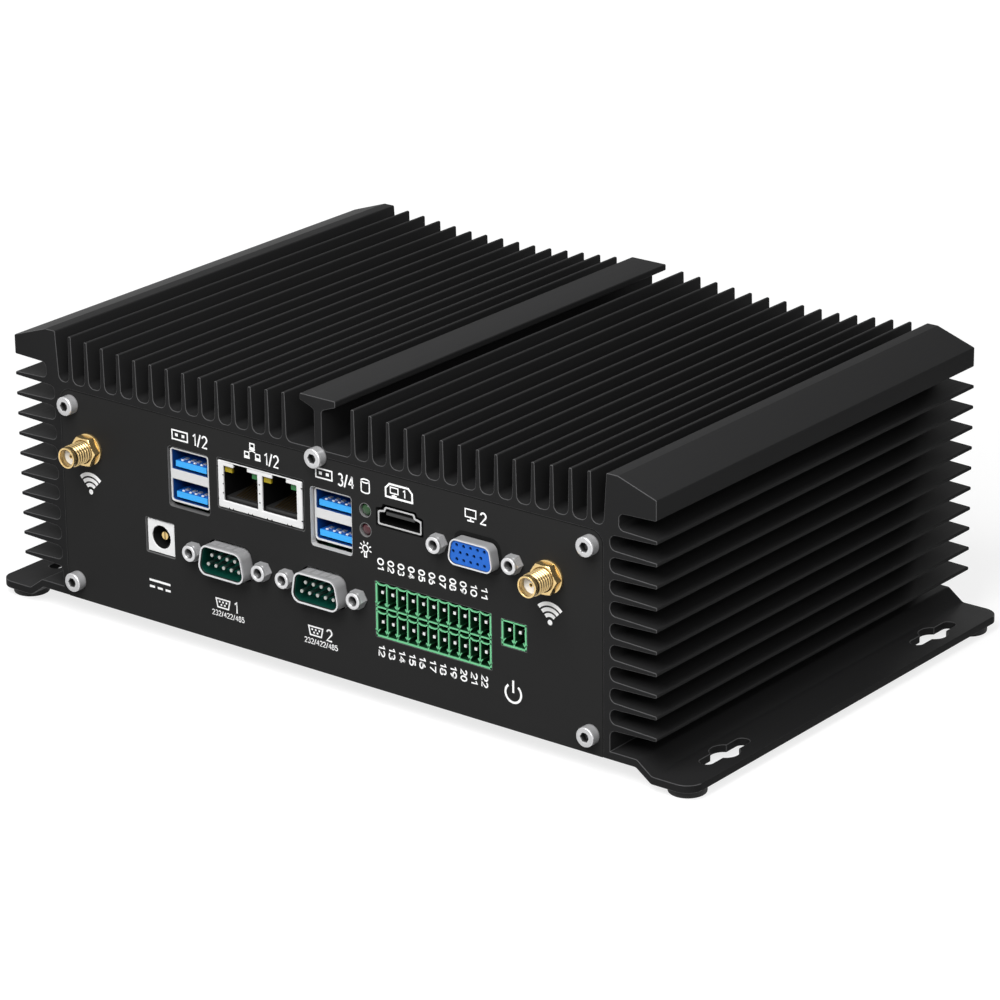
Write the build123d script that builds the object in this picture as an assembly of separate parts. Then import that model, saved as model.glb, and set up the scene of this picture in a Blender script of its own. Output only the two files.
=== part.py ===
from build123d import *
import math
import os

os.makedirs("parts", exist_ok=True)

# Fanless industrial computer, in millimetres. Z is up and the connector panel faces -Y.
# Heights (names ending in _h) are measured from the underside of the case.
# Depths (names ending in _d) are measured backwards from the front plane.

# Case section
case_depth = 149.0
case_half = 96.55
wall_thickness = 4.15
panel_seat = 2.0
opening_h = 62.55
opening_corner = 3.9
roof_under_h = 60.55
roof_top_h = 64.45
pedestal_half = 24.0
pedestal_drop = 2.3
ledge_width = 6.8
ledge_height = 7.2

# Top fins and centre rib
fin_pitch = 6.0
first_fin_x = 12.0
fin_tip_half = 0.5
fin_root_half = 0.8
fin_tip_round = 0.35
fin_root_round = 1.8
crown_low = 11.55
crown_flat_start = 38.3
crown_inner_slope = 0.078
crown_flat_end = 66.0
crown_outer_slope = 0.0875
rib_cap_half = 6.1
rib_cap_height = 14.65
rib_cap_edge = 1.75
rib_cap_slope = 0.37
rib_stem_half = 1.3
rib_cap_round = 1.2
rib_root_round = 1.5

# Corner blocks
block_foot_in = 2.05
block_ridge_in = 1.1
block_ridge_out = 2.5
block_ridge_height = 14.3
block_shoulder_height = 10.25
block_under_height = 4.65
block_reach = 14.55
block_gap_out = 2.85
block_edge_round = 0.4

# Side fins
side_fin_count = 10
side_fin_first_h = 63.3
side_fin_tip_half = 0.5
side_fin_root_half = 1.0
side_fin_reach = 14.75

# Mounting flanges
foot_height = 2.5
foot_radius = 5.2
foot_edge_round = 0.4
foot_inset_x = 6.3
foot_inset_y = 7.0
flange_flat = 12.65
flange_thickness = 2.2
flange_drop = 3.45
flange_root_thickness = 2.3
flange_corner = 5.0
flange_edge_round = 0.3
bend_start = 8.5
bend_run = 4.8
bend_round = 1.5
keyhole_inset = 7.0
keyhole_spacing = 100.0
keyhole_length = 20.0
keyhole_width = 3.9
keyhole_circle = 8.2

# Panels and covers
panel_thickness = 2.0
panel_gap = 0.15
cover_thickness = 2.0
cover_gap = 0.15
cover_screw_inset = 3.4
cover_screw_rows = (28.0, 74.5, 121.0)

# Screws
screw_radius = 1.5
screw_hole_gap = 0.05
screw_pass_gap = 0.2
head_radius = 2.75
head_height = 3.0
head_round = 0.35
socket_width = 2.5
socket_depth = 1.7
screw_length = 10.0
hole_extra = 0.5
corner_screw_inset = 6.1
corner_screw_low_h = 5.65
corner_screw_high_h = 58.35
top_screw_h = 62.6
flat_head_radius = 2.8
flat_head_height = 1.6
cover_screw_length = 6.0

# Boards
board_thickness = 1.6
board_gap_d = 0.6
main_board_under_h = 53.85
main_board_side_gap = 8.4
main_board_depth = 130.0
io_board_under_h = 31.3
io_board_side_gap = 12.4
io_board_depth = 122.0
standoff_inset = 8.0
standoff_rows = (26.0, 70.0, 112.0)
standoff_width = 5.5
stud_length = 2.6
stud_room = 0.3
board_screw_length = 6.0
board_screw_head_radius = 2.8
board_screw_head_height = 1.8

# Antenna connectors
antenna_insets = (12.65, 19.4)
antenna_h = 46.45
antenna_reach = 9.7
antenna_lip = 1.5
antenna_lip_radius = 3.0
antenna_thread_radius = 3.175
antenna_relief_radius = 2.85
antenna_relief_gap = 0.2
antenna_bore_radius = 2.35
antenna_bore_depth = 2.0
antenna_pin_radius = 0.62
antenna_pin_bore = 0.4
antenna_flange_radius = 4.6
antenna_flange_thickness = 1.5
antenna_ferrule_radius = 1.7
antenna_ferrule_length = 5.0
antenna_hole_gap = 0.1
antenna_nut_width = 8.0
antenna_nut_thickness = 2.5
antenna_washer_radius = 4.6
antenna_washer_thickness = 0.8
lead_radius = 0.6
lead_bend = 8.0
lead_slack = 0.45
left_lead_run = 26.0
right_lead_run = 12.0

# Stacked data ports: inset from the right wall, height of the centre, width, height, recess
data_port_sizes = {"a": (143.65, 45.55, 14.1, 15.8, 0.5), "b": (92.7, 45.4, 13.5, 15.1, 1.2)}
data_port_depth = 17.5
data_port_wall = 0.5
data_port_round = 1.1
data_bar_height = 2.75
data_bar_rise = 0.2
data_bar_depth = 9.0
data_tongue_width = 11.2
data_tongue_thickness = 1.7
data_tongue_rise = 0.75
data_tongue_start = 0.7
data_core_gap = 0.1
data_core_depth = 6.0
data_contact_places = (-3.5, -1.0, 1.0, 3.5)
data_contact_width = 1.0
data_contact_length = 1.2
data_contact_height = 0.35
data_contact_start = 2.4
data_cutout_gap = 0.5
data_cutout_drop = 1.0

# Network port pair
network_inset = 117.6
network_h = 47.05
network_width = 29.85
network_height = 13.5
network_depth = 21.0
network_reach = 0.3
network_pitch = 13.9
network_pocket_width = 12.3
network_pocket_height = 10.05
network_pocket_rise = 0.35
network_pocket_depth = 19.0
network_latch_width = 5.0
network_latch_height = 1.1
network_light_width = 2.8
network_light_height = 2.2
network_light_start = 0.6
network_light_depth = 9.0
network_insert_depth = 7.0
network_floor = 1.0
network_contact_count = 8
network_contact_pitch = 1.02
network_contact_width = 0.4
network_contact_thickness = 0.35
network_contact_rise = 2.2
network_cutout_gap = 0.7

# Power jack
jack_x = -58.5
jack_h = 25.75
jack_width = 9.8
jack_height = 9.6
jack_depth = 13.5
jack_recess = 0.4
jack_hole_radius = 3.4
jack_hole_depth = 10.0
jack_pin_radius = 1.15
jack_pin_recess = 1.5
jack_pin_slot = 0.35
jack_cutout_gap = 0.5

# Serial ports and the fifteen hole video port share a flange size
serial_places = (-32.9, 0.7)
serial_h = 25.0
dsub_flange_width = 30.8
dsub_flange_height = 12.5
dsub_flange_thickness = 0.9
dsub_flange_round = 1.5
dsub_screw_spacing = 24.99
dsub_slant = 10.0
serial_width = 17.2
serial_height = 8.9
serial_round = 2.6
serial_reach = 4.0
serial_wall = 0.5
serial_face_d = 1.4
dsub_body_width = 19.0
dsub_body_depth = 9.0
dsub_body_below = 5.0
serial_pin_radius = 0.5
serial_pin_recess = 1.2
serial_pin_pitch = 2.77
serial_row_pitch = 2.84
pin_gap = 0.02
dsub_cutout_gap = 0.6
video_inset = 42.95
video_h = 47.5
video_width = 15.3
video_height = 7.4
video_round = 2.2
video_reach = 3.3
video_wall = 0.4
video_face_recess = 0.4
video_hole_radius = 0.5
video_hole_depth = 3.0
video_pitch = 2.29
video_row_pitch = 1.98
jackscrew_width = 4.75
jackscrew_length = 2.5
jackscrew_collar_radius = 2.4
jackscrew_collar = 0.7
jackscrew_bore_radius = 1.35
jackscrew_bore_depth = 2.4
jackscrew_stud_radius = 1.4
jackscrew_stud_length = 6.0

# Digital video port
digital_inset = 69.05
digital_h = 50.5
digital_width = 14.8
digital_height = 5.4
digital_shoulder = 1.2
digital_top_width = 9.9
digital_back_d = 11.0
digital_core_d = 7.4
digital_wall = 0.45
digital_tongue_width = 9.6
digital_tongue_thickness = 0.9
digital_tongue_rise = 0.75
digital_cutout_gap = 0.7

# Status lights
light_inset = 80.8
light_heights = {"upper": 50.7, "lower": 45.1}
light_radius = 1.5
light_recess = 0.3
light_depth = 7.0
light_hole_radius = 2.05
light_holder_width = 3.8
light_holder_depth = 6.0
light_holder_below = 2.4
light_gap = 0.05

# Terminal headers
terminal_x = 38.35
terminal_h = 23.35
terminal_width = 39.1
terminal_height = 15.8
terminal_depth = 12.0
terminal_wall = 0.8
terminal_divider = 0.5
terminal_strip = 1.55
terminal_ways = 11
terminal_pitch = 3.5
terminal_cell_depth = 9.0
terminal_pin = 0.8
terminal_pin_recess = 0.4
terminal_pin_rises = (1.0, 0.4)
terminal_wedge_width = 1.9
terminal_wedge_height = 1.5
small_terminal_x = 65.45
small_terminal_h = 27.1
small_terminal_width = 8.2
small_terminal_height = 7.4
small_terminal_ways = 2
terminal_cutout_gap = 0.25

# Electronics inside
processor_size = 31.0
processor_height = 1.6
processor_d = 62.0
pad_size = 26.0
stack_width = 50.0
stack_depth = 6.0
stack_d = 105.0
stack_wall = 1.2
stack_half = 10.5
stack_overlap = 4.0
stack_gap = 0.1
memory_width = 70.0
memory_depth = 8.0
memory_socket_height = 5.2
memory_x = -2.0
memory_d = 44.0
memory_module_width = 67.6
memory_module_length = 30.0
memory_module_thickness = 1.2
memory_chips = 4
memory_slot_depth = 4.0
memory_drop = 2.6
card_width = 22.0
card_thickness = 0.8
card_chip_height = 1.4
card_drop = 2.4
card_socket_depth = 8.0
card_socket_height = 4.2
storage_x = 48.0
storage_d = 26.0
storage_length = 80.0
wireless_inset = 20.0
wireless_d = 84.0
wireless_length = 30.0
card_post_radius = 2.0
card_screw_head = 2.6
cell_radius = 10.0
cell_height = 3.2
cell_x = 20.0
cell_d = 60.0
cell_wall = 1.2
cell_floor = 1.4
cell_rim = 1.1
cell_gap = 0.1
coil_size = 12.0
coil_height = 7.0
coil_round = 2.0
coil_places = ((-58.0, 44.0), (-42.0, 44.0), (-26.0, 44.0))
capacitor_radius = 4.0
capacitor_height = 10.5
capacitor_places = ((-58.0, 60.0), (-48.0, 60.0), (-38.0, 60.0), (-28.0, 60.0))

# Values worked out from the sizes above
rear_reach = head_height
front_y = -(case_depth + rear_reach - antenna_reach) / 2
base_z = foot_height + flange_drop
inner_half = case_half - wall_thickness
flange_span = 2 * (case_half + bend_start + bend_run + flange_flat)
main_board_half = inner_half - main_board_side_gap
io_board_half = inner_half - io_board_side_gap
standoff_x = io_board_half - standoff_inset
corner_screw_x = case_half - corner_screw_inset
antenna_places = (antenna_insets[0] - case_half, case_half - antenna_insets[1])
data_ports = {name: (case_half - inset, *rest) for name, (inset, *rest) in data_port_sizes.items()}
network_x = case_half - network_inset
video_x = case_half - video_inset
digital_x = case_half - digital_inset
light_x = case_half - light_inset
wireless_x = wireless_inset - standoff_x
opening_half = inner_half + panel_seat
main_board_top_h = main_board_under_h + board_thickness
io_board_top_h = io_board_under_h + board_thickness
board_front_d = panel_thickness + board_gap_d
screw_hole_radius = screw_radius + screw_hole_gap
pass_radius = screw_radius + screw_pass_gap


def slab(sketch, x, h, d_front, d_back):
    """Extrude a sketch drawn in the panel's plane from one depth to another."""
    plane = Plane(origin=(x, front_y + d_back, base_z + h), x_dir=(1, 0, 0), z_dir=(0, -1, 0))
    return extrude(plane * sketch, amount=d_back - d_front, dir=(0, -1, 0))


def block(x_span, d_span, h_span):
    """A plain block between two places, two depths and two heights."""
    spans = (x_span, d_span, h_span)
    middle = [(low + high) / 2 for low, high in spans]
    place = Pos(middle[0], front_y + middle[1], base_z + middle[2])
    return place * Box(*[high - low for low, high in spans])


def post(x, d, radius, h_low, h_high):
    """An upright round post."""
    base = Pos(x, front_y + d, base_z + h_low)
    return base * Cylinder(radius, h_high - h_low, align=(Align.CENTER, Align.CENTER, Align.MIN))


def hexagon(width):
    """A hexagon sketch of a given width across its flats, with a flat at the top."""
    return RegularPolygon(width / 2, 6, major_radius=False, rotation=30)


def loop(corners):
    """A closed face through corners given as place, height and corner radius."""
    points = [(x, z) for x, z, _ in corners]
    radii = [radius for _, _, radius in corners]
    return make_face(FilletPolyline(*points, radius=radii, close=True))


def save(node, *shapes):
    """Write the solids of one named piece, or of one group of like pieces."""
    solids = [solid for shape in shapes for solid in shape.solids()]
    whole = solids[0] if len(solids) == 1 else Compound(solids)
    whole.label = node
    export_step(whole, f"parts/{node}.step")


# Housing: one extrusion with fins, centre rib, corner blocks and flanges


def crown(x):
    """Height of a top fin over the gap floor: low in the middle, rising to the rib and the block."""
    inner = max(0.0, crown_flat_start - x) * crown_inner_slope
    outer = max(0.0, x - crown_flat_end) * crown_outer_slope
    return crown_low + inner + outer


def rib_corners():
    """Right half of the centre rib's cap and stem."""
    cap_top = roof_top_h + rib_cap_height
    cap_low = cap_top - rib_cap_edge
    neck_h = cap_low - (rib_cap_half - rib_stem_half) * rib_cap_slope
    return [
        (rib_cap_half, cap_top, fin_tip_round),
        (rib_cap_half, cap_low, fin_tip_round),
        (rib_stem_half, neck_h, rib_cap_round),
        (rib_stem_half, roof_top_h, rib_root_round),
    ]


def top_fin_corners():
    """Fins that stand on the roof, from the centre rib outwards."""
    corners = []
    room = case_half - block_foot_in - first_fin_x - fin_root_half - 2 * fin_root_round
    for k in range(1 + int(room / fin_pitch)):
        x = first_fin_x + k * fin_pitch
        tip = roof_top_h + crown(x)
        corners.append((x - fin_root_half, roof_top_h, fin_root_round))
        corners.append((x - fin_tip_half, tip, fin_tip_round))
        corners.append((x + fin_tip_half, tip, fin_tip_round))
        corners.append((x + fin_root_half, roof_top_h, fin_root_round))
    return corners


def block_corners():
    """Corner block that overhangs the side fins."""
    reach = case_half + block_reach
    return [
        (case_half - block_foot_in, roof_top_h, fin_root_round),
        (case_half - block_ridge_in, roof_top_h + block_ridge_height, block_edge_round),
        (case_half + block_ridge_out, roof_top_h + block_ridge_height, block_edge_round),
        (reach, roof_top_h + block_shoulder_height, block_edge_round),
        (reach, roof_top_h + block_under_height, block_edge_round),
        (case_half + block_gap_out, roof_top_h + block_under_height - block_edge_round, rib_root_round),
    ]


def side_fin_corners():
    """Fins that stand out of the side wall, from the top downwards."""
    corners = []
    tip_x = case_half + side_fin_reach
    for k in range(side_fin_count):
        h = side_fin_first_h - k * fin_pitch
        root_x = case_half + (block_gap_out if k == 0 else 0.0)
        root_round = rib_root_round if k == 0 else fin_root_round
        corners.append((root_x, h + side_fin_root_half, root_round))
        corners.append((tip_x, h + side_fin_tip_half, fin_tip_round))
        corners.append((tip_x, h - side_fin_tip_half, fin_tip_round))
        corners.append((case_half, h - side_fin_root_half, fin_root_round))
    return corners


def flange_corners():
    """Flange that steps down from the foot of the wall to the mounting face."""
    bend_top = case_half + bend_start
    flat_h = -flange_drop
    return [
        (case_half, flange_root_thickness, 0.0),
        (bend_top, flange_root_thickness, bend_round),
        (bend_top + bend_run, flat_h + flange_thickness, bend_round),
        (flange_span / 2, flat_h + flange_thickness, flange_edge_round),
        (flange_span / 2, flat_h, flange_edge_round),
        (bend_top + bend_run - flange_edge_round, flat_h, bend_round),
        (bend_top - flange_edge_round, 0.0, bend_round),
    ]


def inside_corners():
    """Inner wall with its screw ledges, and the roof with the processor's pedestal."""
    ledge_x = inner_half - ledge_width
    return [
        (inner_half, 0.0, 0.0),
        (inner_half, cover_thickness, 0.0),
        (ledge_x, cover_thickness, 0.0),
        (ledge_x, cover_thickness + ledge_height, 0.0),
        (inner_half, cover_thickness + ledge_height, 0.0),
        (inner_half, roof_under_h - ledge_height + panel_seat, 0.0),
        (ledge_x, roof_under_h - ledge_height + panel_seat, 0.0),
        (ledge_x, roof_under_h, 0.0),
        (pedestal_half, roof_under_h, 0.0),
        (pedestal_half, roof_under_h - pedestal_drop, 0.0),
    ]


def opening_sketch(gap):
    """Outline of the panel opening, or of a panel that is smaller by a gap."""
    half = opening_half - gap
    corner = opening_corner - gap
    top = opening_h - gap
    return loop([(-half, 0.0, 0.0), (half, 0.0, 0.0), (half, top, corner), (-half, top, corner)])


def keyhole(x, y):
    """Slot with a round middle, cut through a flange."""
    outline = Rot(0, 0, 90) * SlotOverall(keyhole_length, keyhole_width) + Circle(keyhole_circle / 2)
    return extrude(Pos(x, y, 0) * outline, amount=foot_height + 2 * flange_thickness)


def corner_trim(x_side, y_side):
    """What is cut away to round one corner of a flange in plan."""
    x = x_side * (flange_span / 2 - flange_corner)
    y = front_y + case_depth / 2 + y_side * (case_depth / 2 - flange_corner)
    tall = foot_height + 2 * flange_thickness
    square = Pos(x + x_side * flange_corner, y + y_side * flange_corner, 0) * Box(
        2 * flange_corner, 2 * flange_corner, 2 * tall)
    return square - Pos(x, y, 0) * Cylinder(flange_corner, 3 * tall)


screw_places = [
    (-corner_screw_x, corner_screw_low_h),
    (corner_screw_x, corner_screw_low_h),
    (-corner_screw_x, corner_screw_high_h),
    (corner_screw_x, corner_screw_high_h),
    (0.0, top_screw_h),
]
standoff_places = [(side * standoff_x, d) for side in (-1, 1) for d in standoff_rows]
cover_screw_places = [
    (side * (inner_half - cover_screw_inset), d) for side in (-1, 1) for d in cover_screw_rows]


def housing():
    """The extrusion with its panel seats, tapped holes and keyholes."""
    right = rib_corners() + top_fin_corners() + block_corners() + side_fin_corners()
    right += flange_corners() + inside_corners()
    left = [(-x, z, radius) for x, z, radius in reversed(right)]
    body = slab(loop(right + left), 0, 0, 0, case_depth)
    seat = opening_sketch(0)
    back_d = case_depth - panel_thickness
    cuts = [slab(seat, 0, 0, 0, panel_thickness), slab(seat, 0, 0, back_d, case_depth)]
    hole_end = screw_length + hole_extra
    for x, h in screw_places:
        cuts.append(slab(Circle(screw_hole_radius), x, h, 0, hole_end))
        cuts.append(slab(Circle(screw_hole_radius), x, h, case_depth - hole_end, case_depth))
    for x, d in cover_screw_places:
        cuts.append(post(x, d, screw_hole_radius, cover_thickness, cover_screw_length + hole_extra))
    for x, d in standoff_places:
        cuts.append(post(x, d, screw_hole_radius, roof_under_h, roof_under_h + stud_length + stud_room))
    for side in (-1, 1):
        for end in (-1, 1):
            x = side * (flange_span / 2 - keyhole_inset)
            y = front_y + case_depth / 2 + end * keyhole_spacing / 2
            cuts.append(keyhole(x, y))
            cuts.append(corner_trim(side, end))
    return body - cuts


save("heatsink_housing", housing())

# Rubber feet under the flange corners


def foot(x, y):
    """Stick-on disc with a rounded lower edge."""
    disc = Pos(x, y, 0) * Cylinder(foot_radius, foot_height, align=(Align.CENTER, Align.CENTER, Align.MIN))
    return fillet(disc.edges().group_by(Axis.Z)[0], foot_edge_round)


foot_x = flange_span / 2 - foot_inset_x
save("rubber_feet", *[
    foot(side * foot_x, front_y + d)
    for side in (-1, 1) for d in (foot_inset_y, case_depth - foot_inset_y)
])


# Front panel


def d_sketch(width, height, corner):
    """Rounded D with its wide side below."""
    lean = height * math.tan(math.radians(dsub_slant))
    top = width / 2 - lean
    low, high = -height / 2, height / 2
    wide = width / 2
    return loop([(-wide, low, corner), (wide, low, corner), (top, high, corner), (-top, high, corner)])


def digital_sketch(gap):
    """Outline of the digital video port, narrow side above, grown by a gap."""
    half = digital_width / 2 + gap
    top = digital_top_width / 2 + gap
    low, high = -digital_height / 2 - gap, digital_height / 2 + gap
    shoulder_h = digital_shoulder + gap
    edge = digital_wall
    neck = top + digital_wall
    neck_h = shoulder_h + digital_wall
    return loop([
        (-half, low, edge), (half, low, edge), (half, shoulder_h, edge), (neck, neck_h, 0.0),
        (top, high, edge), (-top, high, edge), (-neck, neck_h, 0.0), (-half, shoulder_h, edge),
    ])


def grown_rectangle(width, height, gap):
    """Rectangular cut-out around a connector."""
    return RectangleRounded(width + 2 * gap, height + 2 * gap, gap)


def front_panel():
    """Flat sheet with a cut-out for each connector, light and screw."""
    sheet = slab(opening_sketch(panel_gap), 0, 0, 0, panel_thickness)
    shapes = [(x, h, Circle(pass_radius)) for x, h in screw_places]
    shapes += [(x, antenna_h, Circle(antenna_thread_radius + antenna_hole_gap)) for x in antenna_places]
    for x, h, width, height, _ in data_ports.values():
        tall = height + 2 * data_cutout_gap + data_cutout_drop
        window = RectangleRounded(width + 2 * data_cutout_gap, tall, data_port_round)
        shapes.append((x, h - data_cutout_drop / 2, window))
    shapes.append((network_x, network_h, grown_rectangle(network_width, network_height, network_cutout_gap)))
    shapes.append((jack_x, jack_h, grown_rectangle(jack_width, jack_height, jack_cutout_gap)))
    gap = dsub_cutout_gap
    ports = [(x, serial_h, serial_width, serial_height, serial_round) for x in serial_places]
    ports.append((video_x, video_h, video_width, video_height, video_round))
    for x, h, width, height, corner in ports:
        shapes.append((x, h, d_sketch(width + 2 * gap, height + 2 * gap, corner + gap)))
        for side in (-1, 1):
            hole = Circle(jackscrew_stud_radius + screw_pass_gap)
            shapes.append((x + side * dsub_screw_spacing / 2, h, hole))
    shapes.append((digital_x, digital_h, digital_sketch(digital_cutout_gap)))
    shapes += [(light_x, h, Circle(light_hole_radius)) for h in light_heights.values()]
    gap = terminal_cutout_gap
    shapes.append((terminal_x, terminal_h, grown_rectangle(terminal_width, terminal_height, gap)))
    window = grown_rectangle(small_terminal_width, small_terminal_height, gap)
    shapes.append((small_terminal_x, small_terminal_h, window))
    return sheet - [slab(shape, x, h, 0, panel_thickness) for x, h, shape in shapes]


save("front_panel", front_panel())

# Rear panel and bottom cover

rear_front_d = case_depth - panel_thickness
rear_sheet = slab(opening_sketch(panel_gap), 0, 0, rear_front_d, case_depth)
rear_holes = [slab(Circle(pass_radius), x, h, rear_front_d, case_depth) for x, h in screw_places]
save("rear_panel", rear_sheet - rear_holes)


def flat_screw_cone(x, d, gap):
    """Countersunk head shape, or its seat when it is grown by a gap."""
    seat = (Align.CENTER, Align.CENTER, Align.MIN)
    cone = Cone(flat_head_radius + gap, screw_radius + gap, flat_head_height, align=seat)
    return Pos(x, front_y + d, base_z) * cone


cover = block((-inner_half + cover_gap, inner_half - cover_gap),
              (panel_thickness, rear_front_d), (0, cover_thickness))
cover_cuts = [flat_screw_cone(x, d, screw_hole_gap) for x, d in cover_screw_places]
cover_cuts += [post(x, d, pass_radius, 0, cover_thickness) for x, d in cover_screw_places]
save("bottom_cover", cover - cover_cuts)

# Screws


def socket_screw(x, h, seat_d, outward):
    """Socket head screw whose head stands on a panel; outward is -1 at the front and 1 at the back."""
    head_d = sorted((seat_d, seat_d + outward * head_height))
    head = slab(Circle(head_radius), x, h, *head_d)
    rim = head.edges().group_by(Axis.Y)[0 if outward < 0 else -1]
    head = fillet(rim, head_round)
    top_d = seat_d + outward * head_height
    socket = slab(hexagon(socket_width), x, h, *sorted((top_d, top_d - outward * socket_depth)))
    shank = slab(Circle(screw_radius), x, h, *sorted((seat_d, seat_d - outward * screw_length)))
    return head + shank - socket


save("front_panel_screws", *[socket_screw(x, h, 0, -1) for x, h in screw_places])
save("rear_panel_screws", *[socket_screw(x, h, case_depth, 1) for x, h in screw_places])
save("bottom_cover_screws", *[
    flat_screw_cone(x, d, 0) + post(x, d, screw_radius, 0, cover_screw_length)
    - Pos(x, front_y + d, base_z) * extrude(hexagon(socket_width), amount=flat_head_height / 2)
    for x, d in cover_screw_places
])

# Boards and the standoffs that carry them

main_board = block((-main_board_half, main_board_half), (board_front_d, board_front_d + main_board_depth),
                   (main_board_under_h, main_board_top_h))
io_board = block((-io_board_half, io_board_half), (board_front_d, board_front_d + io_board_depth),
                 (io_board_under_h, io_board_top_h))
save("main_board", main_board - [
    post(x, d, screw_hole_radius, main_board_under_h, main_board_top_h) for x, d in standoff_places])
save("io_board", io_board - [
    post(x, d, screw_hole_radius, io_board_under_h, io_board_top_h) for x, d in standoff_places])


def standoff(x, d, h_low, h_high, bore_depth):
    """Hexagon standoff with a stud above and a tapped hole below."""
    body = Pos(x, front_y + d, base_z + h_low) * extrude(hexagon(standoff_width), amount=h_high - h_low)
    stud = post(x, d, screw_radius, h_high, h_high + stud_length)
    return body + stud - post(x, d, screw_hole_radius, h_low, h_low + bore_depth)


roof_gap = roof_under_h - main_board_top_h
board_gap = main_board_under_h - io_board_top_h
upper_bore = min(roof_gap, stud_length - board_thickness + stud_room)
save("upper_standoffs", *[
    standoff(x, d, main_board_top_h, roof_under_h, upper_bore) for x, d in standoff_places])
save("lower_standoffs", *[
    standoff(x, d, io_board_top_h, main_board_under_h, board_screw_length) for x, d in standoff_places])
save("board_screws", *[
    post(x, d, board_screw_head_radius, io_board_under_h - board_screw_head_height, io_board_under_h)
    + post(x, d, screw_radius, io_board_under_h, io_board_under_h + board_screw_length)
    - Pos(x, front_y + d, base_z + io_board_under_h - board_screw_head_height)
    * extrude(hexagon(socket_width), amount=board_screw_head_height / 2)
    for x, d in standoff_places])

# Antenna connectors

nut_back_d = -antenna_washer_thickness
nut_front_d = nut_back_d - antenna_nut_thickness
insulator_front_d = antenna_bore_depth - antenna_reach
ring_radius = antenna_thread_radius + pin_gap


def antenna_body(x):
    """Threaded sleeve, relieved under its nut, with a flange behind the panel and a crimped tail."""
    flange_end = panel_thickness + antenna_flange_thickness
    sleeve = slab(Circle(antenna_lip_radius), x, antenna_h, -antenna_reach, -antenna_reach + antenna_lip)
    relief_d = nut_front_d - antenna_relief_gap
    sleeve += slab(Circle(antenna_thread_radius), x, antenna_h, -antenna_reach + antenna_lip, relief_d)
    sleeve += slab(Circle(antenna_relief_radius), x, antenna_h, relief_d, panel_thickness)
    sleeve += slab(Circle(antenna_flange_radius), x, antenna_h, panel_thickness, flange_end)
    ferrule_end = flange_end + antenna_ferrule_length
    sleeve += slab(Circle(antenna_ferrule_radius), x, antenna_h, flange_end, ferrule_end)
    return sleeve - slab(Circle(antenna_bore_radius), x, antenna_h, -antenna_reach, 0)


save("antenna_bodies", *[antenna_body(x) for x in antenna_places])
save("antenna_washers", *[
    slab(Circle(antenna_washer_radius) - Circle(ring_radius), x, antenna_h, nut_back_d, 0)
    for x in antenna_places])
save("antenna_nuts", *[
    slab(hexagon(antenna_nut_width) - Circle(ring_radius), x, antenna_h, nut_front_d, nut_back_d)
    for x in antenna_places])
save("antenna_insulators", *[
    slab(Circle(antenna_bore_radius - pin_gap) - Circle(antenna_pin_radius + pin_gap),
         x, antenna_h, insulator_front_d, 0)
    for x in antenna_places])
save("antenna_contacts", *[
    slab(Circle(antenna_pin_radius), x, antenna_h, insulator_front_d, 0)
    - slab(Circle(antenna_pin_bore), x, antenna_h, insulator_front_d, insulator_front_d / 2)
    for x in antenna_places])

# Stacked data ports


def data_port_shell(x, h, width, height, recess):
    """Folded steel shell with a bar between its two openings and tabs up to the board."""
    back_d = recess + data_port_depth
    wall = 2 * data_port_wall
    inside = RectangleRounded(width - wall, height - wall, data_port_round - data_port_wall)
    shell = slab(RectangleRounded(width, height, data_port_round), x, h, recess, back_d)
    shell -= slab(inside, x, h, recess, back_d - data_port_wall)
    bar_h = h + data_bar_rise
    bar_half = (width - wall) / 2
    shell += block((x - bar_half, x + bar_half), (recess, recess + data_bar_depth),
                   (bar_h - data_bar_height / 2, bar_h + data_bar_height / 2))
    for side in (-1, 1):
        tab_x = x + side * (width / 2 - data_port_round - data_port_wall)
        shell += block((tab_x - data_port_wall, tab_x + data_port_wall),
                       (back_d / 2, back_d - data_port_round),
                       (h + height / 2 - data_port_wall, main_board_under_h))
    return shell


def tongue_floors(h, height):
    """Heights of the undersides of the lower and the upper tongue."""
    lower = h - height / 2 + data_port_wall + data_tongue_rise
    upper = h + data_bar_rise + data_bar_height / 2 + data_tongue_rise
    return lower, upper


def data_port_core(x, h, width, height, recess):
    """Plastic block at the back of the shell with one tongue in each opening."""
    gap = data_port_wall + data_core_gap
    back_d = recess + data_port_depth - gap
    core_d = back_d - data_core_depth
    corner = data_port_round - data_port_wall
    core = slab(RectangleRounded(width - 2 * gap, height - 2 * gap, corner), x, h, core_d, back_d)
    half = data_tongue_width / 2
    for low in tongue_floors(h, height):
        core += block((x - half, x + half), (recess + data_tongue_start, core_d),
                      (low, low + data_tongue_thickness))
    return core


def data_port_contacts(x, h, height, recess):
    """Four raised contact springs on each tongue."""
    contacts = []
    start = recess + data_contact_start
    half = data_contact_width / 2
    for low in tongue_floors(h, height):
        top = low + data_tongue_thickness
        contacts += [
            block((x + place - half, x + place + half), (start, start + data_contact_length),
                  (top, top + data_contact_height))
            for place in data_contact_places]
    return contacts


all_contacts = []
for name, (x, h, width, height, recess) in data_ports.items():
    save(f"data_port_{name}_shell", data_port_shell(x, h, width, height, recess))
    save(f"data_port_{name}_core", data_port_core(x, h, width, height, recess))
    all_contacts += data_port_contacts(x, h, height, recess)
save("data_port_contacts", *all_contacts)

# Network ports

network_ports = (network_x - network_pitch / 2, network_x + network_pitch / 2)
pocket_h = network_h + network_pocket_rise
pocket_low = pocket_h - network_pocket_height / 2
pocket_high = pocket_h + network_pocket_height / 2
light_shift = (network_pocket_width - network_light_width) / 2 - pin_gap
insert_d = network_pocket_depth - network_insert_depth

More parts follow.
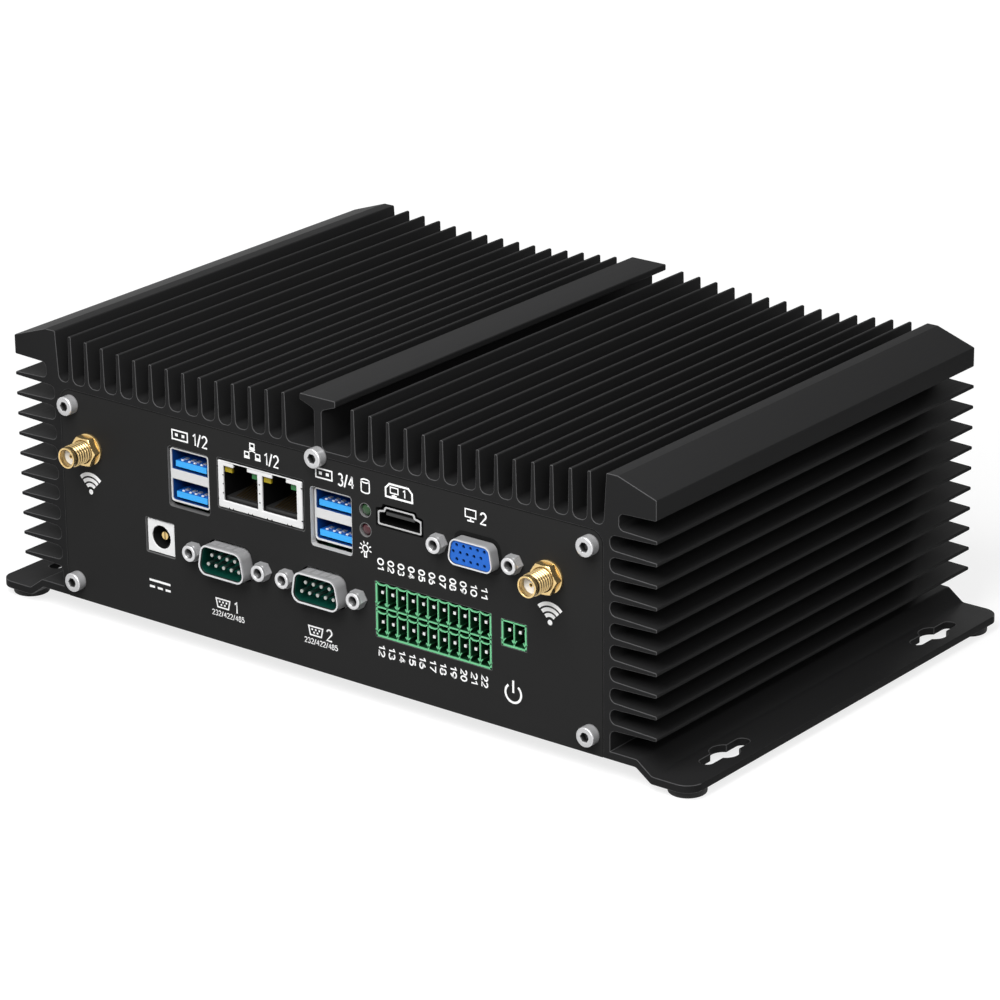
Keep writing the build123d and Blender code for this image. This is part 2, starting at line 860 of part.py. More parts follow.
network_outline = Rectangle(network_width, network_height)
network_shell = slab(network_outline, network_x, network_h, -network_reach, network_depth)
network_cuts = []
for x in network_ports:
    network_cuts.append(slab(Rectangle(network_pocket_width, network_pocket_height), x, pocket_h,
                             -network_reach, network_pocket_depth))
    latch_h = pocket_high + network_latch_height / 2
    network_cuts.append(slab(Rectangle(network_latch_width, network_latch_height), x, latch_h,
                             -network_reach, insert_d))
save("network_port_shell", network_shell - network_cuts)


def network_insert(x):
    """Plastic block at the back of a pocket, with a thin floor that the contacts lie on."""
    half = network_pocket_width / 2 - pin_gap
    back = block((x - half, x + half), (insert_d, network_pocket_depth), (pocket_low, pocket_high))
    floor_h = (pocket_low, pocket_low + network_floor)
    return back + block((x - half, x + half), (network_floor, insert_d), floor_h)


def contact_wire(x):
    """One spring wire that rises from the floor towards the back of the pocket."""
    low = pocket_low + network_floor
    front = 2 * network_floor
    rise = network_contact_rise
    thick = network_contact_thickness
    side = Polygon((front, low), (front + thick, low), (insert_d, low + rise - thick), (insert_d, low + rise),
                   align=None)
    plane = Plane(origin=(x - network_contact_width / 2, front_y, base_z), x_dir=(0, 1, 0), z_dir=(1, 0, 0))
    return extrude(plane * side, amount=network_contact_width, dir=(1, 0, 0))


contact_shifts = [
    (k - (network_contact_count - 1) / 2) * network_contact_pitch for k in range(network_contact_count)]
light_low = pocket_high - network_light_height
save("network_port_inserts", *[network_insert(x) for x in network_ports])
save("network_port_contacts", *[contact_wire(x + shift) for x in network_ports for shift in contact_shifts])


def network_light(x):
    """Small clear window beside the latch notch."""
    half = network_light_width / 2
    return block((x - half, x + half), (network_light_start, network_light_start + network_light_depth),
                 (light_low, pocket_high))


save("network_amber_lights", *[network_light(x - light_shift) for x in network_ports])
save("network_green_lights", *[network_light(x + light_shift) for x in network_ports])

# Power jack

jack_back_d = jack_recess + jack_depth
jack_half = jack_width / 2
jack_body = block((jack_x - jack_half, jack_x + jack_half), (jack_recess, jack_back_d),
                  (jack_h - jack_height / 2, jack_h + jack_height / 2))
jack_body += block((jack_x - jack_half, jack_x + jack_half), (board_front_d, jack_back_d),
                   (jack_h, io_board_under_h))
jack_body -= slab(Circle(jack_hole_radius), jack_x, jack_h, jack_recess, jack_recess + jack_hole_depth)
jack_body -= slab(Circle(jack_pin_radius + pin_gap), jack_x, jack_h, jack_recess, jack_back_d)
save("power_jack_body", jack_body)
pin_front_d = jack_recess + jack_pin_recess
jack_pin = slab(Circle(jack_pin_radius), jack_x, jack_h, pin_front_d, jack_back_d)
slot_end_d = jack_recess + jack_hole_depth / 2
jack_pin -= slab(Rectangle(jack_pin_slot, 2 * jack_pin_radius), jack_x, jack_h, pin_front_d, slot_end_d)
save("power_jack_pin", jack_pin)

# Serial ports and the fifteen hole video port

flange_back_d = panel_thickness + dsub_flange_thickness
body_back_d = flange_back_d + dsub_body_depth


def dsub_shell(x, h, width, height, corner, wall, reach):
    """Pressed steel shell: a flange behind the panel and a D-shaped tube through it."""
    flange = RectangleRounded(dsub_flange_width, dsub_flange_height, dsub_flange_round)
    shell = slab(flange, x, h, panel_thickness, flange_back_d)
    shell += slab(d_sketch(width, height, corner), x, h, -reach, panel_thickness)
    inner = d_sketch(width - 2 * wall, height - 2 * wall, corner - wall)
    shell -= slab(inner, x, h, -reach, flange_back_d)
    for side in (-1, 1):
        shell -= slab(Circle(jackscrew_stud_radius + screw_hole_gap), x + side * dsub_screw_spacing / 2, h,
                      panel_thickness, flange_back_d)
    return shell


def dsub_insulator(x, h, board_h, width, height, corner, wall, face_d):
    """Plastic block: fills the tube up to its face and widens behind the flange up to the board."""
    gap = wall + pin_gap
    front = slab(d_sketch(width - 2 * gap, height - 2 * gap, corner - gap), x, h, face_d, flange_back_d)
    half = dsub_body_width / 2
    rear = block((x - half, x + half), (flange_back_d, body_back_d), (h - dsub_body_below, board_h))
    return front + rear


def serial_pin_places():
    """Four pins above and five below, about the port's centre."""
    upper = [((k - 1.5) * serial_pin_pitch, serial_row_pitch / 2) for k in range(4)]
    lower = [((k - 2.0) * serial_pin_pitch, -serial_row_pitch / 2) for k in range(5)]
    return upper + lower


serial_tube = (serial_width, serial_height, serial_round, serial_wall)
serial_shells = []
serial_insulators = []
serial_pins = []
for x in serial_places:
    serial_shells.append(dsub_shell(x, serial_h, *serial_tube, serial_reach))
    holes = [
        slab(Circle(serial_pin_radius + pin_gap), x + px, serial_h + ph, serial_face_d, body_back_d)
        for px, ph in serial_pin_places()]
    face = dsub_insulator(x, serial_h, io_board_under_h, *serial_tube, serial_face_d)
    serial_insulators.append(face - holes)
    serial_pins += [
        slab(Circle(serial_pin_radius), x + px, serial_h + ph, serial_pin_recess - serial_reach, body_back_d)
        for px, ph in serial_pin_places()]
save("serial_port_shells", *serial_shells)
save("serial_port_insulators", *serial_insulators)
save("serial_port_pins", *serial_pins)

video_tube = (video_width, video_height, video_round, video_wall)
video_face_d = video_face_recess - video_reach
save("video_port_shell", dsub_shell(video_x, video_h, *video_tube, video_reach))
video_holes = [
    slab(Circle(video_hole_radius), video_x + (k - 2 - (0.5 if row == 0 else 0)) * video_pitch,
         video_h + row * video_row_pitch, video_face_d, video_face_d + video_hole_depth)
    for row in (-1, 0, 1) for k in range(5)]
save("video_port_insulator",
     dsub_insulator(video_x, video_h, main_board_under_h, *video_tube, video_face_d) - video_holes)


def jackscrew(x, h):
    """Hexagon post with a round collar, a tapped hole in front and a stud behind."""
    post_front = -jackscrew_length
    collar_front = post_front - jackscrew_collar
    screw = slab(hexagon(jackscrew_width), x, h, post_front, 0)
    screw += slab(Circle(jackscrew_collar_radius), x, h, collar_front, post_front)
    screw += slab(Circle(jackscrew_stud_radius), x, h, 0, jackscrew_stud_length)
    bore_end = collar_front + jackscrew_bore_depth
    return screw - slab(Circle(jackscrew_bore_radius), x, h, collar_front, bore_end)


dsub_places = [(x, serial_h) for x in serial_places] + [(video_x, video_h)]
jackscrews = [
    jackscrew(x + side * dsub_screw_spacing / 2, h) for x, h in dsub_places for side in (-1, 1)]
save("jackscrews", *jackscrews)

# Digital video port

digital_shell = slab(digital_sketch(0), digital_x, digital_h, 0, digital_back_d)
digital_shell -= slab(digital_sketch(-digital_wall), digital_x, digital_h, 0, digital_back_d - digital_wall)
for side in (-1, 1):
    leg_x = digital_x + side * (digital_top_width / 2 - 2 * digital_wall)
    digital_shell += block((leg_x - digital_wall, leg_x + digital_wall), (board_front_d, digital_back_d / 2),
                           (digital_h + digital_height / 2 - digital_wall, main_board_under_h))
save("digital_port_shell", digital_shell)
tongue_half = digital_tongue_width / 2
tongue_h = digital_h + digital_tongue_rise
tongue_back_d = digital_back_d - digital_wall
core_sketch = digital_sketch(-digital_wall - pin_gap)
digital_core = slab(core_sketch, digital_x, digital_h, digital_core_d, tongue_back_d)
digital_core += block((digital_x - tongue_half, digital_x + tongue_half), (digital_wall, tongue_back_d),
                      (tongue_h - digital_tongue_thickness / 2, tongue_h + digital_tongue_thickness / 2))
save("digital_port_tongue", digital_core)

# Status lights and their holder


def status_light(h):
    """Clear rod with a domed end in the panel's hole."""
    shoulder_d = light_recess + light_radius
    rod = slab(Circle(light_radius), light_x, h, shoulder_d, light_recess + light_depth)
    dome = Pos(light_x, front_y + shoulder_d, base_z + h) * Sphere(light_radius)
    return rod + dome


holder_low = light_heights["lower"] - light_holder_below
holder = block((light_x - light_holder_width / 2, light_x + light_holder_width / 2),
               (board_front_d, board_front_d + light_holder_depth), (holder_low, main_board_under_h))
holder -= [
    slab(Circle(light_radius + light_gap), light_x, h, board_front_d, light_recess + light_depth)
    for h in light_heights.values()]
save("status_light_holder", holder)
for name, h in light_heights.items():
    save(f"status_light_{name}", status_light(h))

# Terminal headers


def header_cells(x, h, ways, height, rows):
    """Centres and heights of the cells of a header: one list for each row."""
    inner = (height - 2 * terminal_wall - (rows - 1) * terminal_strip) / rows
    cells = []
    for row in range(rows):
        top = h + height / 2 - terminal_wall - row * (inner + terminal_strip)
        places = [x + (k - (ways - 1) / 2) * terminal_pitch for k in range(ways)]
        cells.append((top - inner, top, places))
    return cells


def header_body(x, h, width, height, ways, rows, board_h):
    """Open-fronted socket block with one cell for each way and a wedge under each divider."""
    half = width / 2
    body = block((x - half, x + half), (0, terminal_depth), (h - height / 2, h + height / 2))
    if h + height / 2 < board_h:
        body += block((x - half, x + half), (board_front_d, terminal_depth), (h, board_h))
    cell_half = (terminal_pitch - terminal_divider) / 2
    cuts = []
    wedges = []
    for low, high, places in header_cells(x, h, ways, height, rows):
        cuts += [
            block((place - cell_half, place + cell_half), (0, terminal_cell_depth), (low, high))
            for place in places]
        for place in places[:-1]:
            foot_half = terminal_wedge_width / 2
            wedge = Polygon((-foot_half, 0), (foot_half, 0), (0, terminal_wedge_height), align=None)
            wedges.append(slab(wedge, place + terminal_pitch / 2, low, 0, terminal_cell_depth))
    return (body - cuts) + wedges


def header_pins(x, h, height, ways, rows, rises):
    """Square pins, one in each cell."""
    pins = []
    for (low, high, places), rise in zip(header_cells(x, h, ways, height, rows), rises):
        middle = (low + high) / 2 + rise
        pins += [
            slab(Rectangle(terminal_pin, terminal_pin), place, middle, terminal_pin_recess, terminal_depth)
            for place in places]
    return pins


def save_header(name, x, h, width, height, ways, rows):
    """Write a header's body with its pin holes, and its pins."""
    pins = header_pins(x, h, height, ways, rows, terminal_pin_rises)
    save(f"{name}_body", header_body(x, h, width, height, ways, rows, io_board_under_h) - pins)
    save(f"{name}_pins", *pins)


save_header("terminal_header", terminal_x, terminal_h, terminal_width, terminal_height, terminal_ways, 2)
save_header("small_header", small_terminal_x, small_terminal_h, small_terminal_width, small_terminal_height,
            small_terminal_ways, 1)

# Processor under the roof

pedestal_h = roof_under_h - pedestal_drop
processor_top_h = main_board_top_h + processor_height
half = processor_size / 2
save("processor", block((-half, half), (processor_d - half, processor_d + half),
                        (main_board_top_h, processor_top_h)))
half = pad_size / 2
save("thermal_pad", block((-half, half), (processor_d - half, processor_d + half),
                          (processor_top_h, pedestal_h)))

# Board-to-board connector: a socket under the main board and a plug on the I/O board

stack_x_half = stack_width / 2
stack_split_h = main_board_under_h - stack_half
plug_half = stack_x_half - stack_wall - stack_gap
plug_d_half = stack_depth / 2 - stack_wall - stack_gap
stack_socket = block((-stack_x_half, stack_x_half), (stack_d - stack_depth / 2, stack_d + stack_depth / 2),
                     (stack_split_h, main_board_under_h))
stack_socket -= block((-stack_x_half + stack_wall, stack_x_half - stack_wall),
                      (stack_d - stack_depth / 2 + stack_wall, stack_d + stack_depth / 2 - stack_wall),
                      (stack_split_h, stack_split_h + stack_overlap + stack_gap))
save("stacking_socket", stack_socket)
stack_plug = block((-stack_x_half, stack_x_half), (stack_d - stack_depth / 2, stack_d + stack_depth / 2),
                   (io_board_top_h, stack_split_h))
stack_plug += block((-plug_half, plug_half), (stack_d - plug_d_half, stack_d + plug_d_half),
                    (stack_split_h, stack_split_h + stack_overlap))
save("stacking_plug", stack_plug)

# Memory module in its socket under the main board

half = memory_width / 2
module_h = main_board_under_h - memory_drop
module_d = memory_d + memory_depth - memory_slot_depth
module_half = memory_module_width / 2
memory_socket = block((memory_x - half, memory_x + half), (memory_d, memory_d + memory_depth),
                      (main_board_under_h - memory_socket_height, main_board_under_h))
for side in (-1, 1):
    arm = sorted((memory_x + side * half, memory_x + side * (module_half + cell_gap)))
    memory_socket += block(arm, (memory_d + memory_depth, module_d + memory_module_length / 2),
                           (main_board_under_h - memory_socket_height, main_board_under_h))
module_low = module_h - memory_module_thickness
memory_socket -= block((memory_x - module_half, memory_x + module_half), (module_d, memory_d + memory_depth),
                       (module_low, module_h))
save("memory_socket", memory_socket)
memory_module = block((memory_x - module_half, memory_x + module_half),
                      (module_d, module_d + memory_module_length), (module_low, module_h))
chip_d = memory_d + memory_depth + 2 * memory_module_thickness
half = memory_depth / 2
for k in range(memory_chips):
    chip_x = memory_x + (k - (memory_chips - 1) / 2) * memory_module_width / memory_chips
    memory_module += block((chip_x - half, chip_x + half), (chip_d, chip_d + 2 * memory_depth),
                           (module_low - memory_module_thickness, module_low))
save("memory_module", memory_module)

# Storage and wireless cards under the main board


def card(x, d, length):
    """Small plug-in board with a flat chip below it and a notch for its screw."""
    top = main_board_under_h - card_drop
    half = card_width / 2
    plate = block((x - half, x + half), (d, d + length), (top - card_thickness, top))
    chip_half = half - card_post_radius
    plate += block((x - chip_half, x + chip_half), (d + card_socket_depth, d + length - 3 * card_post_radius),
                   (top - card_thickness - card_chip_height, top - card_thickness))
    return plate - post(x, d + length, screw_hole_radius, top - card_thickness, top)


def card_socket(x, d):
    """Edge connector that holds a card's front edge."""
    half = card_width / 2
    shell = block((x - half, x + half), (d - card_socket_depth / 2, d + card_socket_depth / 2),
                  (main_board_under_h - card_socket_height, main_board_under_h))
    top = main_board_under_h - card_drop
    return shell - block((x - half, x + half), (d, d + card_socket_depth / 2), (top - card_thickness, top))


def card_post(x, d):
    """Round spacer under the main board with a screw that holds the card's end."""
    top = main_board_under_h - card_drop
    low = top - card_thickness
    post_shape = post(x, d, card_post_radius, top, main_board_under_h) + post(x, d, screw_radius, low, top)
    return post_shape + post(x, d, card_screw_head, low - card_thickness, low)


cards = {
    "storage": (storage_x, storage_d, storage_length),
    "wireless": (wireless_x, wireless_d, wireless_length),
}
for name, (x, d, length) in cards.items():
    save(f"{name}_card", card(x, d, length))
save("card_sockets", *[card_socket(x, d) for x, d, _ in cards.values()])
save("card_screws", *[card_post(x, d + length) for x, d, length in cards.values()])

# Antenna leads from the crimped tails to the wireless card

tail_d = panel_thickness + antenna_flange_thickness + antenna_ferrule_length
card_low_h = main_board_under_h - card_drop - card_thickness
lead_end_d = wireless_d + wireless_length - card_post_radius


def lead(x, run_d, end_x):
    """Thin coaxial lead: back from the connector, across under the main board, up to the card."""
    low_h = antenna_h
    points = [
        (x, front_y + tail_d, base_z + low_h),
        (x, front_y + run_d, base_z + low_h),
        (end_x, front_y + run_d, base_z + low_h),
        (end_x, front_y + lead_end_d, base_z + low_h),
        (end_x, front_y + lead_end_d, base_z + card_low_h),
    ]
    first_bend = min(lead_bend, lead_slack * abs(end_x - x))
    bend = min(first_bend, lead_slack * abs(run_d - lead_end_d))
    rise = lead_slack * (card_low_h - low_h)
    path = FilletPolyline(*points, radius=[first_bend, bend, rise])
    start = Plane(origin=path @ 0, z_dir=path % 0)
    return sweep(start * Circle(lead_radius), path=path)


lead_side = card_width / 2 - card_post_radius
save("antenna_leads",
     lead(antenna_places[0], lead_end_d - left_lead_run, wireless_x - lead_side),
     lead(antenna_places[1], lead_end_d + right_lead_run, wireless_x + lead_side))

# Coin cell in its holder, power coils and capacitors on the I/O board

cell_low_h = io_board_top_h + cell_floor
holder_top_h = cell_low_h + cell_height - cell_rim
cell_pocket = cell_radius + cell_gap
save("coin_cell_holder", post(cell_x, cell_d, cell_pocket + cell_wall, io_board_top_h, holder_top_h)
     - post(cell_x, cell_d, cell_pocket, cell_low_h, holder_top_h))
cell = post(cell_x, cell_d, cell_radius, cell_low_h, cell_low_h + cell_height)
save("coin_cell", fillet(cell.edges().filter_by(GeomType.CIRCLE), cell_gap))
save("power_coils", *[
    Pos(x, front_y + d, base_z + io_board_top_h)
    * extrude(RectangleRounded(coil_size, coil_size, coil_round), amount=coil_height)
    for x, d in coil_places])
save("capacitors", *[
    post(x, d, capacitor_radius, io_board_top_h, io_board_top_h + capacitor_height)
    for x, d in capacitor_places])
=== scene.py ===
import bpy
import math
import numpy as np
from mathutils import Matrix, Vector


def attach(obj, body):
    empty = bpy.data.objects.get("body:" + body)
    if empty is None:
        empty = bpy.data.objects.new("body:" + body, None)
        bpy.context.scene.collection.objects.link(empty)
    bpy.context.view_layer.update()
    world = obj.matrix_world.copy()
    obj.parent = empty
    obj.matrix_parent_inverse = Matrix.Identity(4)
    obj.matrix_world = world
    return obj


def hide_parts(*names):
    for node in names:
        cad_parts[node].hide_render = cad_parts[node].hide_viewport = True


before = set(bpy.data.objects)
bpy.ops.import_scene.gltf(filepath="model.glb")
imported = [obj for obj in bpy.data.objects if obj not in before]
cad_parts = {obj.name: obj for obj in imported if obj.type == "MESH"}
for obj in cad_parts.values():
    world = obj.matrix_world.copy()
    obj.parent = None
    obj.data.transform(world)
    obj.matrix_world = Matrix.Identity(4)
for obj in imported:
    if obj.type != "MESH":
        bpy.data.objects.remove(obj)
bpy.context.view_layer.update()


# Housing
# One aluminium extrusion: fins, centre rib, corner blocks and both flanges are a single section. It is
# sawn to length, its edges are broken, and it is bead blasted and anodised black. Fine lines stay along
# the fins.


def finish(name, dark, light, rough, metal=0.0, gloss=0.5, grain=0.0005, bump=0.000005, stretch=(1, 1, 1),
           patch=0.03, with_painted_shade=False):
    """A finish on Object coordinates, with its sizes in metres. A broad noise of size patch moves the colour
    between two tones. A fine noise of size grain moves the roughness and lifts the surface by bump. Both
    are drawn out along an axis whose stretch is under one. A finish with painted shade goes from near
    black and no gloss to its own colour and gloss with the piece's attribute painted_shade, which paints
    shade into its holes, grooves and some of its faces."""
    skin = bpy.data.materials.new(name)
    skin.use_nodes = True
    nodes, link = skin.node_tree.nodes, skin.node_tree.links.new
    shader = nodes["Principled BSDF"]
    place = nodes.new("ShaderNodeTexCoord")
    turn = nodes.new("ShaderNodeMapping")
    turn.inputs["Scale"].default_value = stretch
    link(place.outputs["Object"], turn.inputs["Vector"])
    broad = nodes.new("ShaderNodeTexNoise")
    broad.inputs["Scale"].default_value = 1 / patch
    broad.inputs["Detail"].default_value = 4.0
    fine = nodes.new("ShaderNodeTexNoise")
    fine.inputs["Scale"].default_value = 1 / grain
    fine.inputs["Detail"].default_value = 2.0
    for noise in (broad, fine):
        link(turn.outputs["Vector"], noise.inputs["Vector"])
    tone = nodes.new("ShaderNodeMix")
    tone.name = "tone"
    tone.data_type = "RGBA"
    tone.inputs[6].default_value = (*dark, 1)
    tone.inputs[7].default_value = (*light, 1)
    link(broad.outputs["Fac"], tone.inputs[0])
    link(tone.outputs[2], shader.inputs["Base Color"])
    if with_painted_shade:
        # Painted shade: the piece's attribute darkens the colour and takes away the gloss in its holes and
        # grooves.
        painted_shade = nodes.new("ShaderNodeAttribute")
        painted_shade.attribute_name = "painted_shade"
        painted_shade_mix = nodes.new("ShaderNodeMix")
        painted_shade_mix.data_type = "RGBA"
        painted_shade_mix.inputs[6].default_value = (0.01, 0.01, 0.01, 1)
        link(painted_shade.outputs["Fac"], painted_shade_mix.inputs[0])
        link(tone.outputs[2], painted_shade_mix.inputs[7])
        link(painted_shade_mix.outputs[2], shader.inputs["Base Color"])
        gloss_by_painted_shade = nodes.new("ShaderNodeMapRange")
        gloss_by_painted_shade.inputs["To Min"].default_value = 0.0
        gloss_by_painted_shade.inputs["To Max"].default_value = gloss
        link(painted_shade.outputs["Fac"], gloss_by_painted_shade.inputs["Value"])
        link(gloss_by_painted_shade.outputs["Result"], shader.inputs["Specular IOR Level"])
    spread = nodes.new("ShaderNodeMapRange")
    spread.inputs["To Min"].default_value = rough[0]
    spread.inputs["To Max"].default_value = rough[1]
    link(fine.outputs["Fac"], spread.inputs["Value"])
    link(spread.outputs["Result"], shader.inputs["Roughness"])
    lift = nodes.new("ShaderNodeBump")
    lift.inputs["Distance"].default_value = bump
    link(fine.outputs["Fac"], lift.inputs["Height"])
    link(lift.outputs["Normal"], shader.inputs["Normal"])
    shader.inputs["Metallic"].default_value = metal
    shader.inputs["Specular IOR Level"].default_value = gloss
    return skin


def dress(skin, *names):
    """Give CAD nodes their finish."""
    for name in names:
        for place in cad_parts[name].material_slots:
            place.material = skin


def skin_group():
    """Shading group: edges that turn by more than 30 degrees are sharp, all faces are smooth."""
    group = bpy.data.node_groups.new("sharp_edges_only", "GeometryNodeTree")
    group.interface.new_socket("Geometry", in_out="INPUT", socket_type="NodeSocketGeometry")
    group.interface.new_socket("Geometry", in_out="OUTPUT", socket_type="NodeSocketGeometry")
    nodes, link = group.nodes, group.links.new
    start, end = nodes.new("NodeGroupInput"), nodes.new("NodeGroupOutput")
    split = nodes.new("GeometryNodeSetMeshNormal")
    split.mode = "SHARPNESS"
    angle = nodes.new("GeometryNodeInputMeshEdgeAngle")
    turned_more = nodes.new("FunctionNodeCompare")
    turned_more.inputs["B"].default_value = math.radians(30)
    link(angle.outputs["Unsigned Angle"], turned_more.inputs["A"])
    link(turned_more.outputs["Result"], split.inputs["Edge Sharpness"])
    link(start.outputs[0], split.inputs["Mesh"])
    link(split.outputs["Mesh"], end.inputs[0])
    return group


shading = skin_group()


def soften(width, *objects, edge_skin=None):
    """Break the sharp edges of pieces. Doubles are welded, flat faces are joined up, and edges that turn by
    more than 35 degrees get a round, as wide in millimetres as said. Its faces may take their own finish."""
    for thing in objects:
        weld = thing.modifiers.new("weld", "WELD")
        weld.merge_threshold = 1e-6
        flat = thing.modifiers.new("flat", "DECIMATE")
        flat.decimate_type = "DISSOLVE"
        flat.angle_limit = math.radians(0.5)
        smooth = thing.modifiers.new("smooth", "NODES")
        smooth.node_group = shading
        edge = thing.modifiers.new("edge", "BEVEL")
        edge.width = width / 1000
        edge.segments = 2
        edge.limit_method = "ANGLE"
        edge.angle_limit = math.radians(35)
        edge.use_clamp_overlap = False
        edge.harden_normals = True
        if edge_skin:
            thing.data.materials.append(edge_skin)
            edge.material = len(thing.data.materials) - 1


along_the_fins = (1, 0.02, 1)
anodised = finish("anodised_black", (0.0140, 0.0140, 0.0143), (0.0175, 0.0175, 0.0178), (0.42, 0.52),
                  gloss=0.02, grain=0.00035, stretch=along_the_fins, patch=0.05)
# The rounds on the edges get a much lighter finish, a painted highlight.
painted_edge_highlight = finish("anodised_painted_edge_highlight", (0.055, 0.055, 0.056), (0.075, 0.075, 0.076), (0.4, 0.5), gloss=0.1,
                     stretch=along_the_fins, patch=0.05)
dress(anodised, "heatsink_housing")
soften(0.16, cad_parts["heatsink_housing"], edge_skin=painted_edge_highlight)

# Rear panel and bottom cover
# Two flat steel sheets, punched and powder coated black. The panel sits in a shallow seat in the extrusion
# and the cover between its walls.

powder = finish("panel_black", (0.0145, 0.0145, 0.0145), (0.0172, 0.0172, 0.0172), (0.5, 0.62), gloss=0.05,
                grain=0.0003)
dress(powder, "rear_panel", "bottom_cover")
soften(0.12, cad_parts["rear_panel"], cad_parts["bottom_cover"])

# Feet
# Black rubber discs, moulded with a rounded lower edge. They are stuck under the corners of the flanges, and
# the computer stands on them.

rubber = finish("rubber_black", (0.012, 0.012, 0.012), (0.022, 0.022, 0.022), (0.62, 0.8), gloss=0.3,
                grain=0.0004, bump=0.00003)
dress(rubber, "rubber_feet")

# Cover and board screws
# Cold headed steel screws with a bright zinc plate. They are countersunk in the cover and have low heads on
# the boards.

zinc = finish("zinc_plate", (0.62, 0.62, 0.63), (0.80, 0.80, 0.81), (0.24, 0.36), metal=0.7,
              grain=0.0003, patch=0.004)
dress(zinc, "bottom_cover_screws", "board_screws")

# Boards and plug-in cards
# Glass fibre boards under a green solder mask. Copper tracks show through the mask as paler lines, and small
# tinned holes are scattered between them.

mask = finish("board_green", (0.006, 0.055, 0.022), (0.012, 0.085, 0.036), (0.25, 0.4), grain=0.0004,
              bump=0.000008)
nodes, link = mask.node_tree.nodes, mask.node_tree.links.new
place = nodes.new("ShaderNodeTexCoord")
tracks = nodes.new("ShaderNodeTexBrick")
tracks.inputs["Scale"].default_value = 150.0
tracks.inputs["Mortar Size"].default_value = 0.03
tracks.inputs["Brick Width"].default_value = 1.7
tracks.inputs["Color1"].default_value = (0, 0, 0, 1)
tracks.inputs["Color2"].default_value = (0, 0, 0, 1)
tracks.inputs["Mortar"].default_value = (1, 1, 1, 1)
copper = nodes.new("ShaderNodeMix")
copper.data_type = "RGBA"
copper.inputs[7].default_value = (0.03, 0.2, 0.09, 1)
link(place.outputs["Object"], tracks.inputs["Vector"])
link(tracks.outputs["Color"], copper.inputs[0])
link(nodes["tone"].outputs[2], copper.inputs[6])
dots = nodes.new("ShaderNodeTexVoronoi")
dots.inputs["Scale"].default_value = 210.0
link(place.outputs["Object"], dots.inputs["Vector"])
small = nodes.new("ShaderNodeMath")
small.operation = "LESS_THAN"
small.inputs[1].default_value = 0.11
link(dots.outputs["Distance"], small.inputs[0])
tin = nodes.new("ShaderNodeMix")
tin.data_type = "RGBA"
tin.inputs[7].default_value = (0.55, 0.55, 0.52, 1)
link(small.outputs["Value"], tin.inputs[0])
link(copper.outputs[2], tin.inputs[6])
link(tin.outputs[2], nodes["Principled BSDF"].inputs["Base Color"])
dress(mask, "main_board", "io_board", "memory_module", "storage_card", "wireless_card")

# Standoffs, card posts and small parts on the boards
# Hexagon brass standoffs with a thin nickel plate, black moulded sockets and chips, aluminium capacitor cans,
# a steel coin cell, the grey pad on the processor and two thin black coaxial leads.

plated_brass = finish("brass_plain", (0.60, 0.53, 0.38), (0.74, 0.68, 0.52), (0.28, 0.42), metal=1.0,
                      grain=0.0004)
dress(plated_brass, "upper_standoffs", "lower_standoffs", "card_screws")
chip = finish("chip_black", (0.018, 0.018, 0.018), (0.035, 0.035, 0.035), (0.5, 0.65), grain=0.0003,
              bump=0.00001)
dress(chip, "processor", "power_coils")
moulding = finish("insert_black", (0.008, 0.008, 0.008), (0.016, 0.016, 0.016), (0.38, 0.52), grain=0.0005)
dress(moulding, "stacking_socket", "stacking_plug", "memory_socket", "card_sockets", "coin_cell_holder",
      "network_port_inserts", "digital_port_tongue", "status_light_holder")
pad = finish("pad_grey", (0.30, 0.32, 0.35), (0.40, 0.42, 0.45), (0.8, 0.95), grain=0.0006, bump=0.00003)
dress(pad, "thermal_pad")
can = finish("can_silver", (0.52, 0.52, 0.54), (0.66, 0.66, 0.68), (0.25, 0.38), metal=1.0,
             stretch=(1, 1, 0.1))
dress(can, "capacitors")
cell = finish("cell_steel", (0.55, 0.55, 0.55), (0.68, 0.68, 0.68), (0.22, 0.4), metal=1.0,
              stretch=(1, 0.1, 1))
dress(cell, "coin_cell")
lead = finish("lead_black", (0.012, 0.012, 0.012), (0.025, 0.025, 0.025), (0.45, 0.6), grain=0.0008)
dress(lead, "antenna_leads")

# Front panel
# A flat steel sheet with a punched window for every connector, powder coated in the same fine matt black as
# the rear one. It sits flush in a shallow seat in the end of the extrusion.

dress(powder, "front_panel")

# Front and rear panel screws
# Cold headed socket screws, turned on the head and plated bright. The socket is deep, and painted shade
# makes it nearly black and the face, side and back of the head darker than the rounded rim.
# Five hold each panel: one at every corner and one in the middle of the upper edge.

panel_box = np.array(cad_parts["front_panel"].bound_box) * 1000
front_plane, underside = panel_box.min(axis=0).round(3)[1:]
steps_round = 48


def at(x, d, h):
    """Frame metres of millimetres across, behind the front plane and over the underside of the case."""
    x, d, h = np.broadcast_arrays(np.asarray(x, float), np.asarray(d, float), np.asarray(h, float))
    return np.stack([x, d + front_plane, h + underside], axis=-1) / 1000


def merged(parts):
    """One set of points, faces and painted shades out of many closed parts. Each part's faces come in groups
    of equal size. Six times its volume is the sum of a . (b x c) over the faces' fan triangles, and where
    that is negative its faces are turned round."""
    points, faces, painted_shades, start = [], [], [], 0
    for own, groups, painted_shade in parts:
        sixfold_volume = 0.0
        for group in groups:
            first, rest = own[group[:, :1]], own[group[:, 1:]]
            sixfold_volume += np.sum(first * np.cross(rest[:, :-1], rest[:, 1:]))
        for group in groups:
            faces += (start + (group if sixfold_volume > 0 else group[:, ::-1])).tolist()
        points.append(own)
        painted_shades.append(painted_shade)
        start += len(own)
    return np.concatenate(points), faces, np.concatenate(painted_shades)


